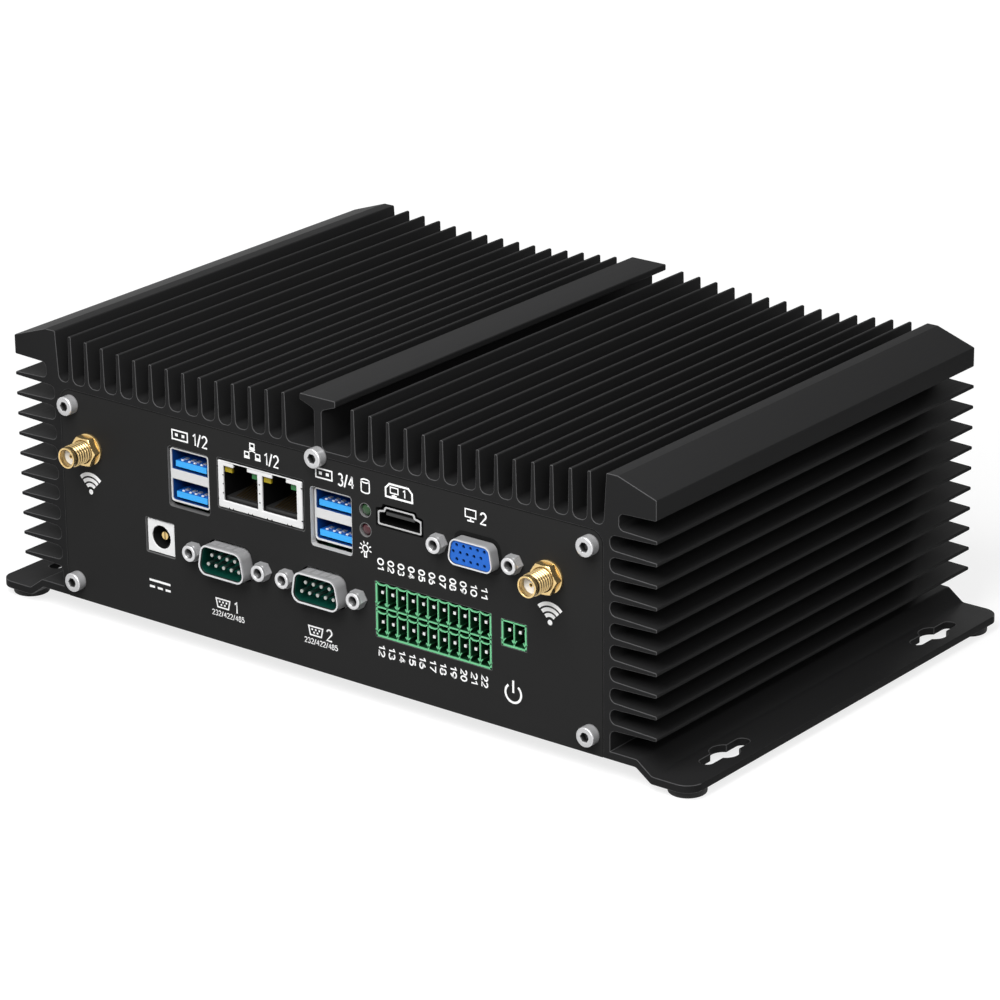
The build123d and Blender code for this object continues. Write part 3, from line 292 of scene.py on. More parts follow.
def piece(name, parts, skin, nodes=(), smooth=True):
    """A closed mesh out of parts whose places are in their points, with their painted shades as an attribute.
    """
    points, faces, painted_shades = merged(parts)
    mesh = bpy.data.meshes.new(name)
    mesh.from_pydata(points.tolist(), [], faces)
    mesh.polygons.foreach_set("use_smooth", [smooth] * len(mesh.polygons))
    mesh.attributes.new("painted_shade", "FLOAT", "POINT").data.foreach_set("value", painted_shades)
    mesh.materials.append(skin)
    thing = bpy.data.objects.new(name, mesh)
    bpy.context.scene.collection.objects.link(thing)
    if smooth:
        rule = thing.modifiers.new("smooth", "NODES")
        rule.node_group = shading
    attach(thing, "root")
    if nodes:
        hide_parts(*nodes)
    return thing


def net(rows, around):
    """Point numbers of a net that is joined round each row, the same moved on by one, and its four-sided
    faces from each row to the next and from the last one back to the first."""
    index = np.arange(rows * around).reshape(rows, around)
    follow = np.roll(index, -1, 1)
    return index, follow, np.stack([index, follow, np.roll(follow, -1, 0), np.roll(index, -1, 0)], -1)


def turned(places, rows, radius=None, closed=False):
    """Turned surfaces about lines straight into the panel. Each row gives a depth d, a radius r and a painted
    shade, and its points are (x + r cos a, d, h + r sin a) at equal steps of a. Radius may give r for
    every row and a. The first and last rows are single points on the line, or else the last row is joined
    to the first."""
    rows = np.asarray(rows, float)
    radius = np.repeat(rows[:, 1:2], steps_round, 1) if radius is None else radius
    around = radius.shape[1]
    angle = np.arange(around) * 2 * math.pi / around
    body = slice(None) if closed else slice(1, -1)
    count = len(rows[body])
    index, follow, quads = net(count, around)
    groups = [quads[:count if closed else count - 1].reshape(-1, 4)]
    painted_shade = np.repeat(rows[body, 2], around)
    if not closed:
        tip = np.full(around, count * around)
        groups.append(np.stack([tip, follow[0], index[0]], -1))
        groups.append(np.stack([tip + 1, index[-1], follow[-1]], -1))
        painted_shade = np.append(painted_shade, rows[[0, -1], 2])
    parts = []
    for x, h in places:
        points = at(x + radius * np.cos(angle), rows[:, :1], h + radius * np.sin(angle))[body]
        points = points.reshape(-1, 3)
        if not closed:
            points = np.concatenate([points, at([x, x], rows[[0, -1], 0], [h, h])])
        parts.append((points, groups, painted_shade))
    return parts


def hexagon(width, around=steps_round):
    """Radii of a hexagon with a flat at the top: half its width over the cosine of the angle from the
    middle of the nearest flat."""
    return width / 2 / np.cos(np.radians(np.arange(around) * 360 / around % 60 - 30))


plated = finish("screw_steel", (0.56, 0.56, 0.57), (0.74, 0.74, 0.75), (0.24, 0.34), metal=0.55, gloss=0.3,
                grain=0.0003, patch=0.004, with_painted_shade=True)
socket, head, shank = 1.25, 2.75, 1.5
# The third number of each row is its painted shade: nearly black in the socket, full on the rounded rim.
screw_rows = np.array([
    (-1.3, 0, 0.25), (-1.3, 1.0, 0.12), (-1.3, socket, 0.02), (-2.3, socket, 0.08), (-2.9, socket, 0.5),
    (-3.0, 1.42, 0.8), (-3.0, 2.42, 0.72), (-2.96, 2.57, 0.9), (-2.85, 2.68, 1), (-2.65, head, 1),
    (-2.3, head, 0.85), (-0.5, head, 0.95), (0, head, 0.4), (0, shank, 1), (9.9, shank, 1), (9.9, 0, 1)])
screw_radii = np.repeat(screw_rows[:, 1:2], steps_round, 1)
screw_radii[1:5] = hexagon(2 * socket) * screw_rows[1:5, 1:2] / socket
corner_x, corner_heights, middle_height = 90.45, (5.65, 58.35), 62.6
screw_places = [(x, h) for x in (-corner_x, corner_x) for h in corner_heights] + [(0, middle_height)]
piece("front_socket_screws", turned(screw_places, screw_rows, screw_radii), plated,
      ("front_panel_screws",))
rear_box = np.array(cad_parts["rear_panel"].bound_box) * 1000
case_depth = rear_box.max(axis=0).round(3)[1] - front_plane
rear_rows = screw_rows * (-1, 1, 1) + (case_depth, 0, 0)
piece("rear_socket_screws", turned(screw_places, rear_rows, screw_radii), plated,
      ("rear_panel_screws",))

# Printed marks
# White ink, silk screened on the powder coat: plain symbols and numbers beside the ports, and the numbers
# of the terminal ways. It stands a little before the face of the panel.

ink_depth = (-0.03, 0.02)


def prism(outline, depth):
    """A straight prism: an outline of places across and up, carried from one depth to another."""
    outline = np.asarray(outline, float)
    count = len(outline)
    points = np.concatenate([at(outline[:, 0], d, outline[:, 1]) for d in depth])
    index = np.arange(count)
    follow = np.roll(index, -1)
    walls = np.stack([index, follow, follow + count, index + count], -1)
    return points, [index[None, ::-1], index[None] + count, walls], np.ones(2 * count)


def bar(line, width, depth, closed=False):
    """A flat bar along a line of places across and up. At each point its two sides are set out along the sum
    of the normals m and n of the runs before and after, times width / 2 / (1 + m . n), which keeps its
    width in a turn. In a sharp turn 1 + m . n is taken as 0.7, so that no spike stands out."""
    line = np.asarray(line, float)
    after = np.roll(line, -1, 0) - line
    if not closed:
        after[-1] = after[-2]
    after /= np.linalg.norm(after, axis=1)[:, None]
    before = np.roll(after, 1, 0)
    if not closed:
        before[0] = after[0]
    normals = [np.stack([-run[:, 1], run[:, 0]], 1) for run in (before, after)]
    spread = np.maximum(1 + np.einsum("ij,ij->i", *normals), 0.7)
    out = (normals[0] + normals[1]) / spread[:, None] * width / 2
    sides = [(line + out, depth[0]), (line - out, depth[0]), (line - out, depth[1]), (line + out, depth[1])]
    points = np.stack([at(side[:, 0], d, side[:, 1]) for side, d in sides], 1).reshape(-1, 3)
    count = len(line)
    index, _, quads = net(count, 4)
    groups = [quads[:count if closed else count - 1].reshape(-1, 4)]
    if not closed:
        groups.append(np.stack([index[0, ::-1], index[-1]]))
    return points, groups, np.ones(len(points))


def arc(x, h, across, up, start, end, steps=16):
    """Places on an ellipse, from one angle to another in degrees."""
    angle = np.radians(np.linspace(start, end, steps))
    return np.stack([x + across * np.cos(angle), h + up * np.sin(angle)], 1)


def rectangle(x, h, wide, tall, cut=0.0):
    """Corners of a rectangle, the upper ones cut off by cut."""
    a, b = wide / 2, tall / 2
    top = [(x + a, h + b - cut), (x + a - cut, h + b), (x - a + cut, h + b), (x - a, h + b - cut)]
    return [(x - a, h - b), (x + a, h - b)] + (top if cut else top[1:3])


marks = []


def stroke(line, width, closed=False):
    """A printed line."""
    marks.append(bar(line, width, ink_depth, closed))


def disc(x, h, radius):
    """A printed dot."""
    marks.append(prism(arc(x, h, radius, radius, 0, 345, 24), ink_depth))


# The figures as lines in a cell about one high and 0.56 wide, each with whether it is closed.
six = [(arc(0.28, 0.3, 0.27, 0.3, 0, 345, 20), True), (arc(0.62, 0.28, 0.6, 0.74, 178, 112, 8), False)]
figure_lines = {
    "0": [(arc(0.28, 0.5, 0.28, 0.5, 0, 345, 24), True)],
    "1": [([(0.0, 0.78), (0.24, 1.0), (0.24, 0.0)], False)],
    "2": [(np.concatenate([arc(0.28, 0.72, 0.27, 0.28, 165, -28, 12), [(0.0, 0.0), (0.56, 0.0)]]), False)],
    "3": [(arc(0.26, 0.76, 0.24, 0.24, 150, -90, 12), False),
          (arc(0.26, 0.26, 0.29, 0.27, 90, -150, 14), False)],
    "4": [([(0.42, 0.0), (0.42, 1.0)], False), ([(0.42, 1.0), (0.0, 0.3), (0.6, 0.3)], False)],
    "5": [(np.concatenate([[(0.5, 1.0), (0.1, 1.0), (0.05, 0.55)],
                           arc(0.26, 0.33, 0.29, 0.33, 118, -150, 14)]), False)],
    "6": six,
    "7": [([(0.0, 1.0), (0.55, 1.0), (0.2, 0.0)], False)],
    "8": [(arc(0.28, 0.75, 0.22, 0.25, 0, 345, 20), True), (arc(0.28, 0.26, 0.28, 0.26, 0, 345, 20), True)],
    "9": [((0.56, 1.0) - line, closed) for line, closed in six],
    "/": [([(0.0, -0.06), (0.36, 1.06)], False)],
}


def number(text, x, h, tall, wide, width, sideways=False):
    """Figures of even line width, fitted to a height and a width about a centre. Sideways figures are turned
    a quarter to the right, so that (a, b) becomes (b, -a)."""
    narrow, usual, gap = {"1": 0.3, "/": 0.36}, 0.56, 0.2
    ends = np.cumsum([narrow.get(letter, usual) + gap for letter in text])
    starts = np.append(0.0, ends[:-1])
    full = ends[-1] - gap
    for letter, start in zip(text, starts):
        for line, closed in figure_lines[letter]:
            line = (np.asarray(line) + (start, 0) - (full / 2, 0.5)) * (wide / full, tall)
            line = np.stack([line[:, 1], -line[:, 0]], 1) if sideways else line
            stroke(line + (x, h), width, closed)


def screen_mark(x, h, wide):
    """A small screen on a foot."""
    stroke(rectangle(x, h + 0.09 * wide, wide, 0.62 * wide), 0.34, True)
    stroke([(x - 0.32 * wide, h - 0.5 * wide), (x + 0.32 * wide, h - 0.5 * wide)], 0.4)
    stroke([(x, h - 0.24 * wide), (x, h - 0.45 * wide)], 0.45)


def plug_mark(x, h):
    """A flat plug seen from its end."""
    stroke(rectangle(x, h, 5.6, 2.6), 0.42, True)
    for side in (-1, 1):
        stroke(rectangle(x + side * 1.2, h + 0.05, 0.6, 0.45), 0.4, True)


def d_mark(x, h):
    """The outline of a D-shaped plug with a few dots."""
    stroke([(x - 2.5, h + 1.25), (x + 2.5, h + 1.25), (x + 1.95, h - 1.25), (x - 1.95, h - 1.25)], 0.42, True)
    for k in range(3):
        disc(x + (k - 1) * 1.25, h + 0.42, 0.3)
    for k in range(2):
        disc(x + (k - 0.5) * 1.25, h - 0.42, 0.3)


def wireless_mark(x, h):
    """Three arcs over a dot."""
    for radius in (5.175, 3.625, 2.075):
        stroke(arc(x, h, radius, radius, 45, 135, 15), 1.05)
    disc(x, h, 0.75)


def network_mark(x, h):
    """Three small computers on stands, and a line that joins them."""
    for side, rise in ((0, 2.7), (-1.95, 0), (1.95, 0)):
        stroke(rectangle(x + side, h + rise + 0.3, 1.5, 1.2), 0.36, True)
        stroke([(x + side - 1.0, h + rise - 0.72), (x + side + 1.0, h + rise - 0.72)], 0.5)
    stroke([(x - 1.05, h + 1.25), (x, h + 1.55), (x + 1.05, h + 1.25)], 0.34)


def disk_mark(x, h):
    """A drum with a round lid."""
    half, tall, dip = 1.4, 2.9, 0.5
    stroke(arc(x, h + tall, half, dip, 0, 345, 24), 0.38, True)
    drum = [[(x - half, h + tall)], arc(x, h, half, dip, 180, 360, 12), [(x + half, h + tall)]]
    stroke(np.concatenate(drum), 0.38)


def lamp_mark(x, h):
    """A bulb with its foot and seven rays."""
    stroke(arc(x, h, 0.95, 0.95, 0, 345, 24), 0.34, True)
    stroke([(x - 0.35, h - 1.15), (x - 0.35, h - 2.35), (x + 0.35, h - 2.35), (x + 0.35, h - 1.15)], 0.36)
    for turn in range(-15, 226, 40):
        ray = np.array([math.cos(math.radians(turn)), math.sin(math.radians(turn))])
        stroke([(x, h) + 1.4 * ray, (x, h) + 2.15 * ray], 0.34)


def direct_current_mark(x, h):
    """A whole line over three dashes."""
    stroke([(x, h), (x + 7.8, h)], 0.65)
    for k in range(3):
        stroke([(x + 2.95 * k, h - 1.9), (x + 2.95 * k + 1.9, h - 1.9)], 0.65)


def power_mark(x, h):
    """A circle that is open at the top, and an upright line in the opening."""
    stroke(arc(x, h, 2.6, 2.6, 128, 412, 40), 0.64)
    stroke([(x, h + 0.15), (x, h + 3.65)], 0.64)


for x in (-84.16, 77.3):
    wireless_mark(x, 33.6)
plug_mark(-49.8, 57.6)
number("1/2", -42.4, 57.6, 3.3, 5.0, 0.48)
plug_mark(1.7, 57.8)
number("3/4", 9.3, 57.5, 3.3, 5.2, 0.48)
network_mark(-23.55, 57.35)
number("1/2", -16.7, 57.6, 3.3, 4.8, 0.48)
disk_mark(16.0, 56.1)
lamp_mark(15.6, 39.75)
stroke(rectangle(27.5, 58.2, 9.0, 3.7, 1.3), 0.55, True)
screen_mark(25.9, 58.2, 2.6)
number("1", 29.3, 58.2, 2.1, 0.7, 0.42)
screen_mark(51.5, 57.5, 3.5)
number("2", 55.7, 57.3, 3.1, 1.8, 0.5)
direct_current_mark(-63.2, 12.3)
for x, text, wide in ((-34.2, "1", 0.9), (-0.8, "2", 1.8)):
    d_mark(x - 1.8, 11.4)
    number(text, x + 3.0, 11.4, 3.2, wide, 0.48)
    number("232/422/485", x, 8.3, 1.45, 11.6, 0.24)
terminal_ways, terminal_pitch = 11, 3.5
terminal_x, terminal_h = 38.35, 23.35
for k in range(terminal_ways):
    x = terminal_x + (k - (terminal_ways - 1) / 2) * terminal_pitch
    for way, shift, h in ((k + 1, 0.1, 36.5), (k + 1 + terminal_ways, 0.3, 11.5)):
        number(f"{way:02d}", x - shift, h, 1.9, 3.1, 0.42, sideways=True)
power_mark(65.05, 10.55)

white_ink = finish("white_ink", (0.86, 0.86, 0.86), (0.92, 0.92, 0.92), (0.55, 0.7), gloss=0.2, grain=0.0003)
piece("printed_marks", marks, white_ink, smooth=False)

# Edges and joint of the front panel
# Thin grey linings stand on the walls of the windows, light at the second data port and darker at the others.
# A thin black bead closes the gap round the panel. A wider black ring in the window of the fifteen hole
# port is painted shadow in the gap round its shell.


def rounded(corners, step=0.3):
    """A closed path through corners of place, height and radius r. A corner that turns by t is cut back by
    r tan(t / 2) on both runs and filled with an arc, and the path is then spaced evenly by about one step."""
    corners = np.asarray(corners, float)
    path = []
    for k, (x, h, radius) in enumerate(corners):
        into = corners[k, :2] - corners[k - 1, :2]
        away = corners[(k + 1) % len(corners), :2] - corners[k, :2]
        into, away = into / np.linalg.norm(into), away / np.linalg.norm(away)
        angle = math.atan2(into[0] * away[1] - into[1] * away[0], into @ away)
        start = np.array([x, h]) - into * radius * math.tan(abs(angle) / 2)
        inward = np.array([-into[1], into[0]]) * math.copysign(1, angle)
        swing = np.linspace(0, abs(angle), 9)[:, None]
        path.append(start + radius * (np.sin(swing) * into + (1 - np.cos(swing)) * inward))
    path = np.concatenate(path)
    path = np.concatenate([path, path[:1]])
    run = np.append(0.0, np.cumsum(np.linalg.norm(np.diff(path, axis=0), axis=1)))
    places = np.linspace(0, run[-1], int(run[-1] / step) + 1)[:-1]
    return np.stack([np.interp(places, run, path[:, k]) for k in (0, 1)], 1)


def window_edge(x, h, wide, tall, radius):
    """A thin lining of a rounded window, set a little way in from its wall."""
    inset, thickness, depth = 0.06, 0.1, (0.03, 1.9)
    corners = [(a, b, radius) for a, b in rectangle(x, h, wide - 2 * inset, tall - 2 * inset)]
    return bar(rounded(corners), thickness, depth, True)


def middle_x(name):
    """Millimetres across to the middle of a CAD node."""
    box = np.array(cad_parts[name].bound_box)[:, 0] * 1000
    return (box.min() + box.max()).round(3) / 2


data_port_x = {letter: middle_x(f"data_port_{letter}_shell") for letter in "ab"}
network_x, jack_x = middle_x("network_port_shell"), middle_x("power_jack_body")
video_x, video_h = middle_x("video_port_shell"), 47.5
small_x, small_h = middle_x("small_header_body"), 27.1
bright_edge = finish("bright_edge", (0.42, 0.42, 0.42), (0.52, 0.52, 0.52), (0.35, 0.5), metal=0.2,
                     grain=0.0003)
bright_lining = window_edge(data_port_x["b"], 44.9, 14.5, 17.1, 1.05)
piece("bright_window_edge", [bright_lining], bright_edge, smooth=False)
joint_and_gap_shadow_black = finish("joint_and_gap_shadow_black", (0.002, 0.002, 0.002), (0.004, 0.004, 0.004), (0.6, 0.7), gloss=0.1)
seam_side, seam_top, seam_round, seam_foot = 94.32, 62.48, 3.82, 0.2
turn_x, turn_h = seam_side - seam_round, seam_top - seam_round
seam = np.concatenate([
    [(-seam_side, seam_foot)], arc(-turn_x, turn_h, seam_round, seam_round, 180, 90),
    arc(turn_x, turn_h, seam_round, seam_round, 90, 0), [(seam_side, seam_foot)]])
gap_foot, gap_top, gap_rise, gap_round = 8.35, 6.8, 4.4, 2.6
video_gap = rounded([(video_x + side, video_h + rise, gap_round) for side, rise in (
    (-gap_foot, -gap_rise), (gap_foot, -gap_rise), (gap_top, gap_rise), (-gap_top, gap_rise))])
# The ring round the fifteen hole port is painted shadow.
joints = [bar(seam, 0.32, (-0.012, 0.4)), bar(video_gap, 1.3, (-0.02, 0.3), True)]
piece("front_panel_joint_and_gap_shadow", joints, joint_and_gap_shadow_black, smooth=False)
dull_edge = finish("dull_edge", (0.09, 0.09, 0.09), (0.13, 0.13, 0.13), (0.4, 0.5), gloss=0.2, grain=0.0003)
piece("dull_window_edges", [
    window_edge(data_port_x["a"], 45.05, 15.1, 17.8, 1.05), window_edge(network_x, 47.05, 31.25, 14.9, 0.65),
    window_edge(jack_x, 25.75, 10.8, 10.6, 0.45), window_edge(terminal_x, terminal_h, 39.6, 16.3, 0.2),
    window_edge(small_x, small_h, 8.7, 7.9, 0.2)], dull_edge, smooth=False)

# Data ports
# Folded and bright plated steel shells, two openings each. A blue plastic block at the back carries one
# tongue in each opening, with four sprung contacts on it.

nickel = finish("plated_shell", (0.56, 0.56, 0.57), (0.68, 0.68, 0.69), (0.3, 0.42), metal=0.6, grain=0.0004,
                patch=0.006)


def painted_shade_behind_front(skin, near, start, end):
    """The colour near over the front, and the finish's own darker colour behind it as painted shade. The near
    colour is full at the depth start and gone at the depth end, both in millimetres behind the front plane."""
    nodes, link = skin.node_tree.nodes, skin.node_tree.links.new
    shader = nodes["Principled BSDF"]
    place = nodes.new("ShaderNodeTexCoord")
    split = nodes.new("ShaderNodeSeparateXYZ")
    fade = nodes.new("ShaderNodeMapRange")
    fade.inputs["From Min"].default_value = (end + front_plane) / 1000
    fade.inputs["From Max"].default_value = (start + front_plane) / 1000
    blend = nodes.new("ShaderNodeMix")
    blend.data_type = "RGBA"
    blend.inputs[7].default_value = (*near, 1)
    link(place.outputs["Object"], split.inputs["Vector"])
    link(split.outputs["Y"], fade.inputs["Value"])
    link(fade.outputs["Result"], blend.inputs[0])
    link(nodes["tone"].outputs[2], blend.inputs[6])
    link(blend.outputs[2], shader.inputs["Base Color"])


tongue_rise, upper_opening, tongue_thickness = 1.25, 2.325, 1.7
contact_places = (-3.5, -1.0, 1.0, 3.5)
contact_dots = []
for letter, h, height, recess in (("a", 45.55, 15.8, 0.5), ("b", 45.4, 15.1, 1.2)):
    x = data_port_x[letter]
    # Painted shade: dark blue behind the shell's light front edge and the block's bright front band.
    shell = finish(f"port_shell_{letter}", (0.004, 0.045, 0.20), (0.006, 0.055, 0.24), (0.32, 0.42),
                   metal=0.3, gloss=0.2, grain=0.0004)
    painted_shade_behind_front(shell, (0.60, 0.60, 0.60), recess + 0.25, recess + 0.5)
    dress(shell, f"data_port_{letter}_shell")
    blue = finish(f"port_blue_{letter}", (0.004, 0.085, 0.38), (0.005, 0.10, 0.44), (0.4, 0.5), gloss=0.2)
    painted_shade_behind_front(blue, (0.045, 0.36, 0.80), recess + 0.75, recess + 0.95)
    dress(blue, f"data_port_{letter}_core")
    for low in (h - height / 2 + tongue_rise, h + upper_opening):
        top = low + tongue_thickness
        contact_dots += [prism(rectangle(x + place, top + 0.3, 0.7, 0.34), (recess + 1.0, recess + 1.45))
                         for place in contact_places]
soften(0.12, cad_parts["data_port_a_shell"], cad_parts["data_port_b_shell"])
dress(nickel, "data_port_contacts")
bright_contact = finish("contact_tips", (0.66, 0.68, 0.72), (0.74, 0.76, 0.80), (0.3, 0.4), gloss=0.4,
                        grain=0.0003)
piece("data_port_contact_tips", contact_dots, bright_contact, smooth=False)

# Network ports
# One deep drawn steel frame round two pockets, with small spring slots along its lower edge, its sides and
# between the pockets, drawn as black marks of painted shade. Each pocket has a black block with eight sprung
# gold wires and two small clear windows over its lights.

# Painted shade: the frame has its steel colour only on its front edge and is near black behind it.
tinned = finish("network_steel", (0.002, 0.002, 0.002), (0.004, 0.004, 0.004), (0.35, 0.45), gloss=0.15,
                grain=0.0004)
painted_shade_behind_front(tinned, (0.70, 0.70, 0.70), 0.05, 0.35)
dress(tinned, "network_port_shell")
soften(0.2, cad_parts["network_port_shell"])
frame_half, frame_foot, slot_depth = 14.925, 40.25, (-0.33, -0.2)
slot_marks = []
for place in (3.84, 5.3, 10.7, 12.1, 17.5, 19.1, 24.6, 26.1):
    x = network_x - frame_half + place
    corners = [(x - 0.32, frame_foot), (x + 0.32, frame_foot), (x, frame_foot + 0.6)]
    slot_marks.append(prism(corners, slot_depth))
for x in (-36.03, -6.07):
    slot_marks += [prism(rectangle(x, h, 0.5, 0.3), slot_depth) for h in (42.6, 52.0)]
for x in (-34.2, -20.95, -21.15, -7.9):
    slot_marks += [prism(rectangle(x, h, 0.24, 0.34), slot_depth) for h in (44.6, 47.2, 49.8)]
# The slots are black marks of painted shade.
slot_painted_shade = finish("slot_painted_shade", (0.002, 0.002, 0.002), (0.004, 0.004, 0.004), (0.5, 0.6), gloss=0.1)
piece("network_frame_slots", slot_marks, slot_painted_shade, smooth=False)
contact_gold = finish("gold_contact", (0.62, 0.42, 0.16), (0.78, 0.58, 0.26), (0.2, 0.32), metal=0.9,
                      patch=0.003)
dress(contact_gold, "power_jack_pin", "antenna_contacts")
# The wires are gold darkened to near black, a painted shade deep in the pockets.
wire_gold_painted_shade = finish("wire_gold_painted_shade", (0.03, 0.02, 0.006), (0.05, 0.03, 0.01), (0.3, 0.4), metal=0.6, gloss=0.1)
dress(wire_gold_painted_shade, "network_port_contacts")
pocket_places, light_out, light_h = (-28.0, -14.1), 4.85, 51.4
for name, colour, side in (("amber", (0.34, 0.26, 0.012), -1), ("green", (0.03, 0.16, 0.05), 1)):
    # Painted shade: the windows have their colour only near the front and are near black behind it.
    window = finish(f"{name}_window", (0.004, 0.004, 0.002), (0.006, 0.006, 0.003), (0.2, 0.3), gloss=0.2)
    painted_shade_behind_front(window, colour, 0.75, 1.5)
    panes = [prism(rectangle(x + side * light_out, light_h, 2.5, 1.7), (0.6, 3.0)) for x in pocket_places]
    piece(f"network_{name}_windows", panes, window, (f"network_{name}_lights",),
          smooth=False)

# Power jack
# A light grey moulded housing with a round hole, soldered to the board. A split gold plated pin stands in
# the middle of the hole.

# Painted shade: the housing is light grey only at its front and near black inside the hole.
jack = finish("jack_white", (0.006, 0.006, 0.006), (0.009, 0.009, 0.009), (0.36, 0.48), gloss=0.2)
painted_shade_behind_front(jack, (0.76, 0.76, 0.76), 0.55, 0.8)
dress(jack, "power_jack_body")
soften(0.12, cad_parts["power_jack_body"])

# Serial ports and the fifteen hole video port
# Pressed steel shells with a flange behind the panel and a D-shaped tube through it, moulded insulators and
# turned pins. Hexagon posts with a threaded hole hold each shell to the panel.

serial_xs, serial_h = (-32.9, 0.7), 25.0
serial_d = (17.2, 8.9, 2.6)
video_d = (15.3, 7.4, 2.2)

# Two places far off the tube, so that no dimple shows on it.
no_dimples = (-30.0, 30.0)


def d_tube(x, h, width, height, corner, rows, dimples=no_dimples):
    """A D-shaped tube. The rounded D is offset along its normals by each row's distance, at the row's depth.
    Dimples are pressed in by 0.3 mm near the panel, where a dimple's place is under 0.95 mm away, and a
    painted shade darkens them by up to four fifths. They fade out over the last 0.2 mm round them and over
    0.3 mm in front."""
    lean = height * math.tan(math.radians(10))
    a, b, top = width / 2, height / 2, width / 2 - lean
    path = rounded([(-a, -b, corner), (a, -b, corner), (top, b, corner), (-top, b, corner)], 0.2)
    along = np.roll(path, -1, 0) - np.roll(path, 1, 0)
    normal = np.stack([along[:, 1], -along[:, 0]], 1) / np.linalg.norm(along, axis=1)[:, None]
    rows = np.array(rows)
    near = np.min(np.abs(path[:, :1] - np.asarray(dimples)), axis=1)
    flat = np.abs(np.abs(path[:, 1]) - b) < 0.05
    pressed = np.clip((0.95 - near) / 0.2, 0, 1) * flat
    band = np.clip((rows[:, 1] + 2.3) / 0.3, 0, 1) * (rows[:, 0] > 0)
    press = band[:, None] * pressed
    offset = rows[:, :1] - 0.3 * press
    painted_shade = rows[:, 2:] * (1 - 0.8 * press)
    places = path[None] + offset[..., None] * normal
    points = at(x + places[..., 0], rows[:, 1:2], h + places[..., 1]).reshape(-1, 3)
    quads = net(len(rows), len(path))[2].reshape(-1, 4)
    return points, [quads], painted_shade.reshape(-1)


def shell_rows(wall, reach):
    """Outside, rounded lip and inside of a pressed tube, from the panel out and back, with painted shades:
    full on the lip, lower outside and nearly black inside.
    """
    rows = [(0.02, d, 0.62) for d in np.linspace(1.9, 0.6 - reach, 16)]
    return rows + [
        (0.0, 0.3 - reach, 0.8), (-0.06, 0.12 - reach, 1), (-0.16, 0.02 - reach, 1),
        (-0.26, -0.02 - reach, 1), (0.12 - wall, 0.0 - reach, 1),
        (-wall, 0.1 - reach, 0.4), (-wall - 0.03, 0.2 - reach, 0.04),
        (-wall - 0.03, 1.0 - reach, 0.02), (-wall - 0.03, 1.8, 0.01)]


dress(nickel, "serial_port_shells", "video_port_shell")
# Painted shade: the pins are light only at their tips and dark green behind them.
turned_pins = finish("serial_pins", (0.02, 0.045, 0.038), (0.03, 0.06, 0.05), (0.3, 0.4), metal=0.5,
                     gloss=0.2)
painted_shade_behind_front(turned_pins, (0.42, 0.43, 0.41), -2.78, -2.3)
dress(turned_pins, "serial_port_pins")
shell_steel = finish("pressed_shells", (0.60, 0.60, 0.61), (0.74, 0.74, 0.75), (0.34, 0.44), metal=0.5,
                     gloss=0.2, grain=0.0004, patch=0.006, with_painted_shade=True)
dimple_places = (-4.2, -1.4, 1.4, 4.2)
tubes = [d_tube(x, serial_h, *serial_d, shell_rows(0.5, 4.0), dimple_places) for x in serial_xs]
tubes.append(d_tube(video_x, video_h, *video_d, shell_rows(0.4, 3.3)))
piece("pressed_port_shells", tubes, shell_steel)
dark_green = finish("serial_green", (0.003, 0.045, 0.032), (0.007, 0.12, 0.085), (0.4, 0.5), gloss=0.15,
                    patch=0.012)
dress(dark_green, "serial_port_insulators")
# A thin dark green lining inside each shell tube: a painted reflection of the green insulator, and painted
# shade.
lining_reflection_and_shade = finish("serial_lining_reflection_and_shade", (0.0015, 0.020, 0.014), (0.003, 0.048, 0.034), (0.35, 0.45), gloss=0.1,
                     patch=0.012)
lining_rows = [(-0.56, 1.38, 1), (-0.56, -3.4, 1), (-0.66, -3.5, 1), (-0.76, -3.4, 1), (-0.76, 1.38, 1)]
piece("serial_port_reflection_linings", [d_tube(x, serial_h, *serial_d, lining_rows) for x in serial_xs], lining_reflection_and_shade)
# Painted shade: the insulator is bright blue only at its front and nearly black behind it.
video_blue = finish("video_blue", (0.002, 0.008, 0.04), (0.003, 0.01, 0.05), (0.4, 0.5), gloss=0.15)
painted_shade_behind_front(video_blue, (0.018, 0.115, 0.48), -2.75, -2.3)
dress(video_blue, "video_port_insulator")

# The hexagon posts beside them: a turned collar, a thread in the bore, and flats whose corners are turned
# down to a cone in front. The thread shows as light and dark rings through its shape and a painted shade, and
# the bottom of the bore is nearly black with painted shade.
turns = np.arange(-1.0, -3.0, -0.125)
crest = np.cos(turns * 4 * math.pi)
bore = np.stack([turns, 1.27 + 0.08 * crest, 0.16 + 0.12 * crest], 1)
post_rows = np.concatenate([
    [(-0.8, 0, 0.03), (-0.8, 1.35, 0.03)], bore,
    [(-3.08, 1.45, 0.6), (-3.18, 1.58, 1), (-3.2, 1.7, 0.9), (-3.2, 2.1, 0.85), (-3.15, 2.25, 1),
     (-3.0, 2.36, 0.7), (-2.75, 2.42, 0.5), (-2.5, 2.5, 0.6), (-2.35, 2.62, 1), (-2.15, 2.8, 0.85),
     (-0.3, 2.8, 0.9), (0, 2.8, 0.4), (0, 1.4, 1), (5.9, 1.4, 1), (5.9, 0, 1)]])
post_radii = np.repeat(post_rows[:, 1:2], steps_round, 1)
outer_rows = post_rows[:, 1] > 2.3
post_radii[outer_rows] = np.minimum(post_radii[outer_rows], hexagon(4.75))
half_pitch = 12.495
port_places = [(x, serial_h) for x in serial_xs] + [(video_x, video_h)]
post_places = [(x + side * half_pitch, h) for x, h in port_places for side in (-1, 1)]
piece("hexagon_posts", turned(post_places, post_rows, post_radii), plated, ("jackscrews",))

# Digital video port
# A thin drawn steel shell with a flat black tongue in the middle, set flush in its window. Only its rim keeps
# the steel's light colour, and behind it the shell is near black with painted shade.

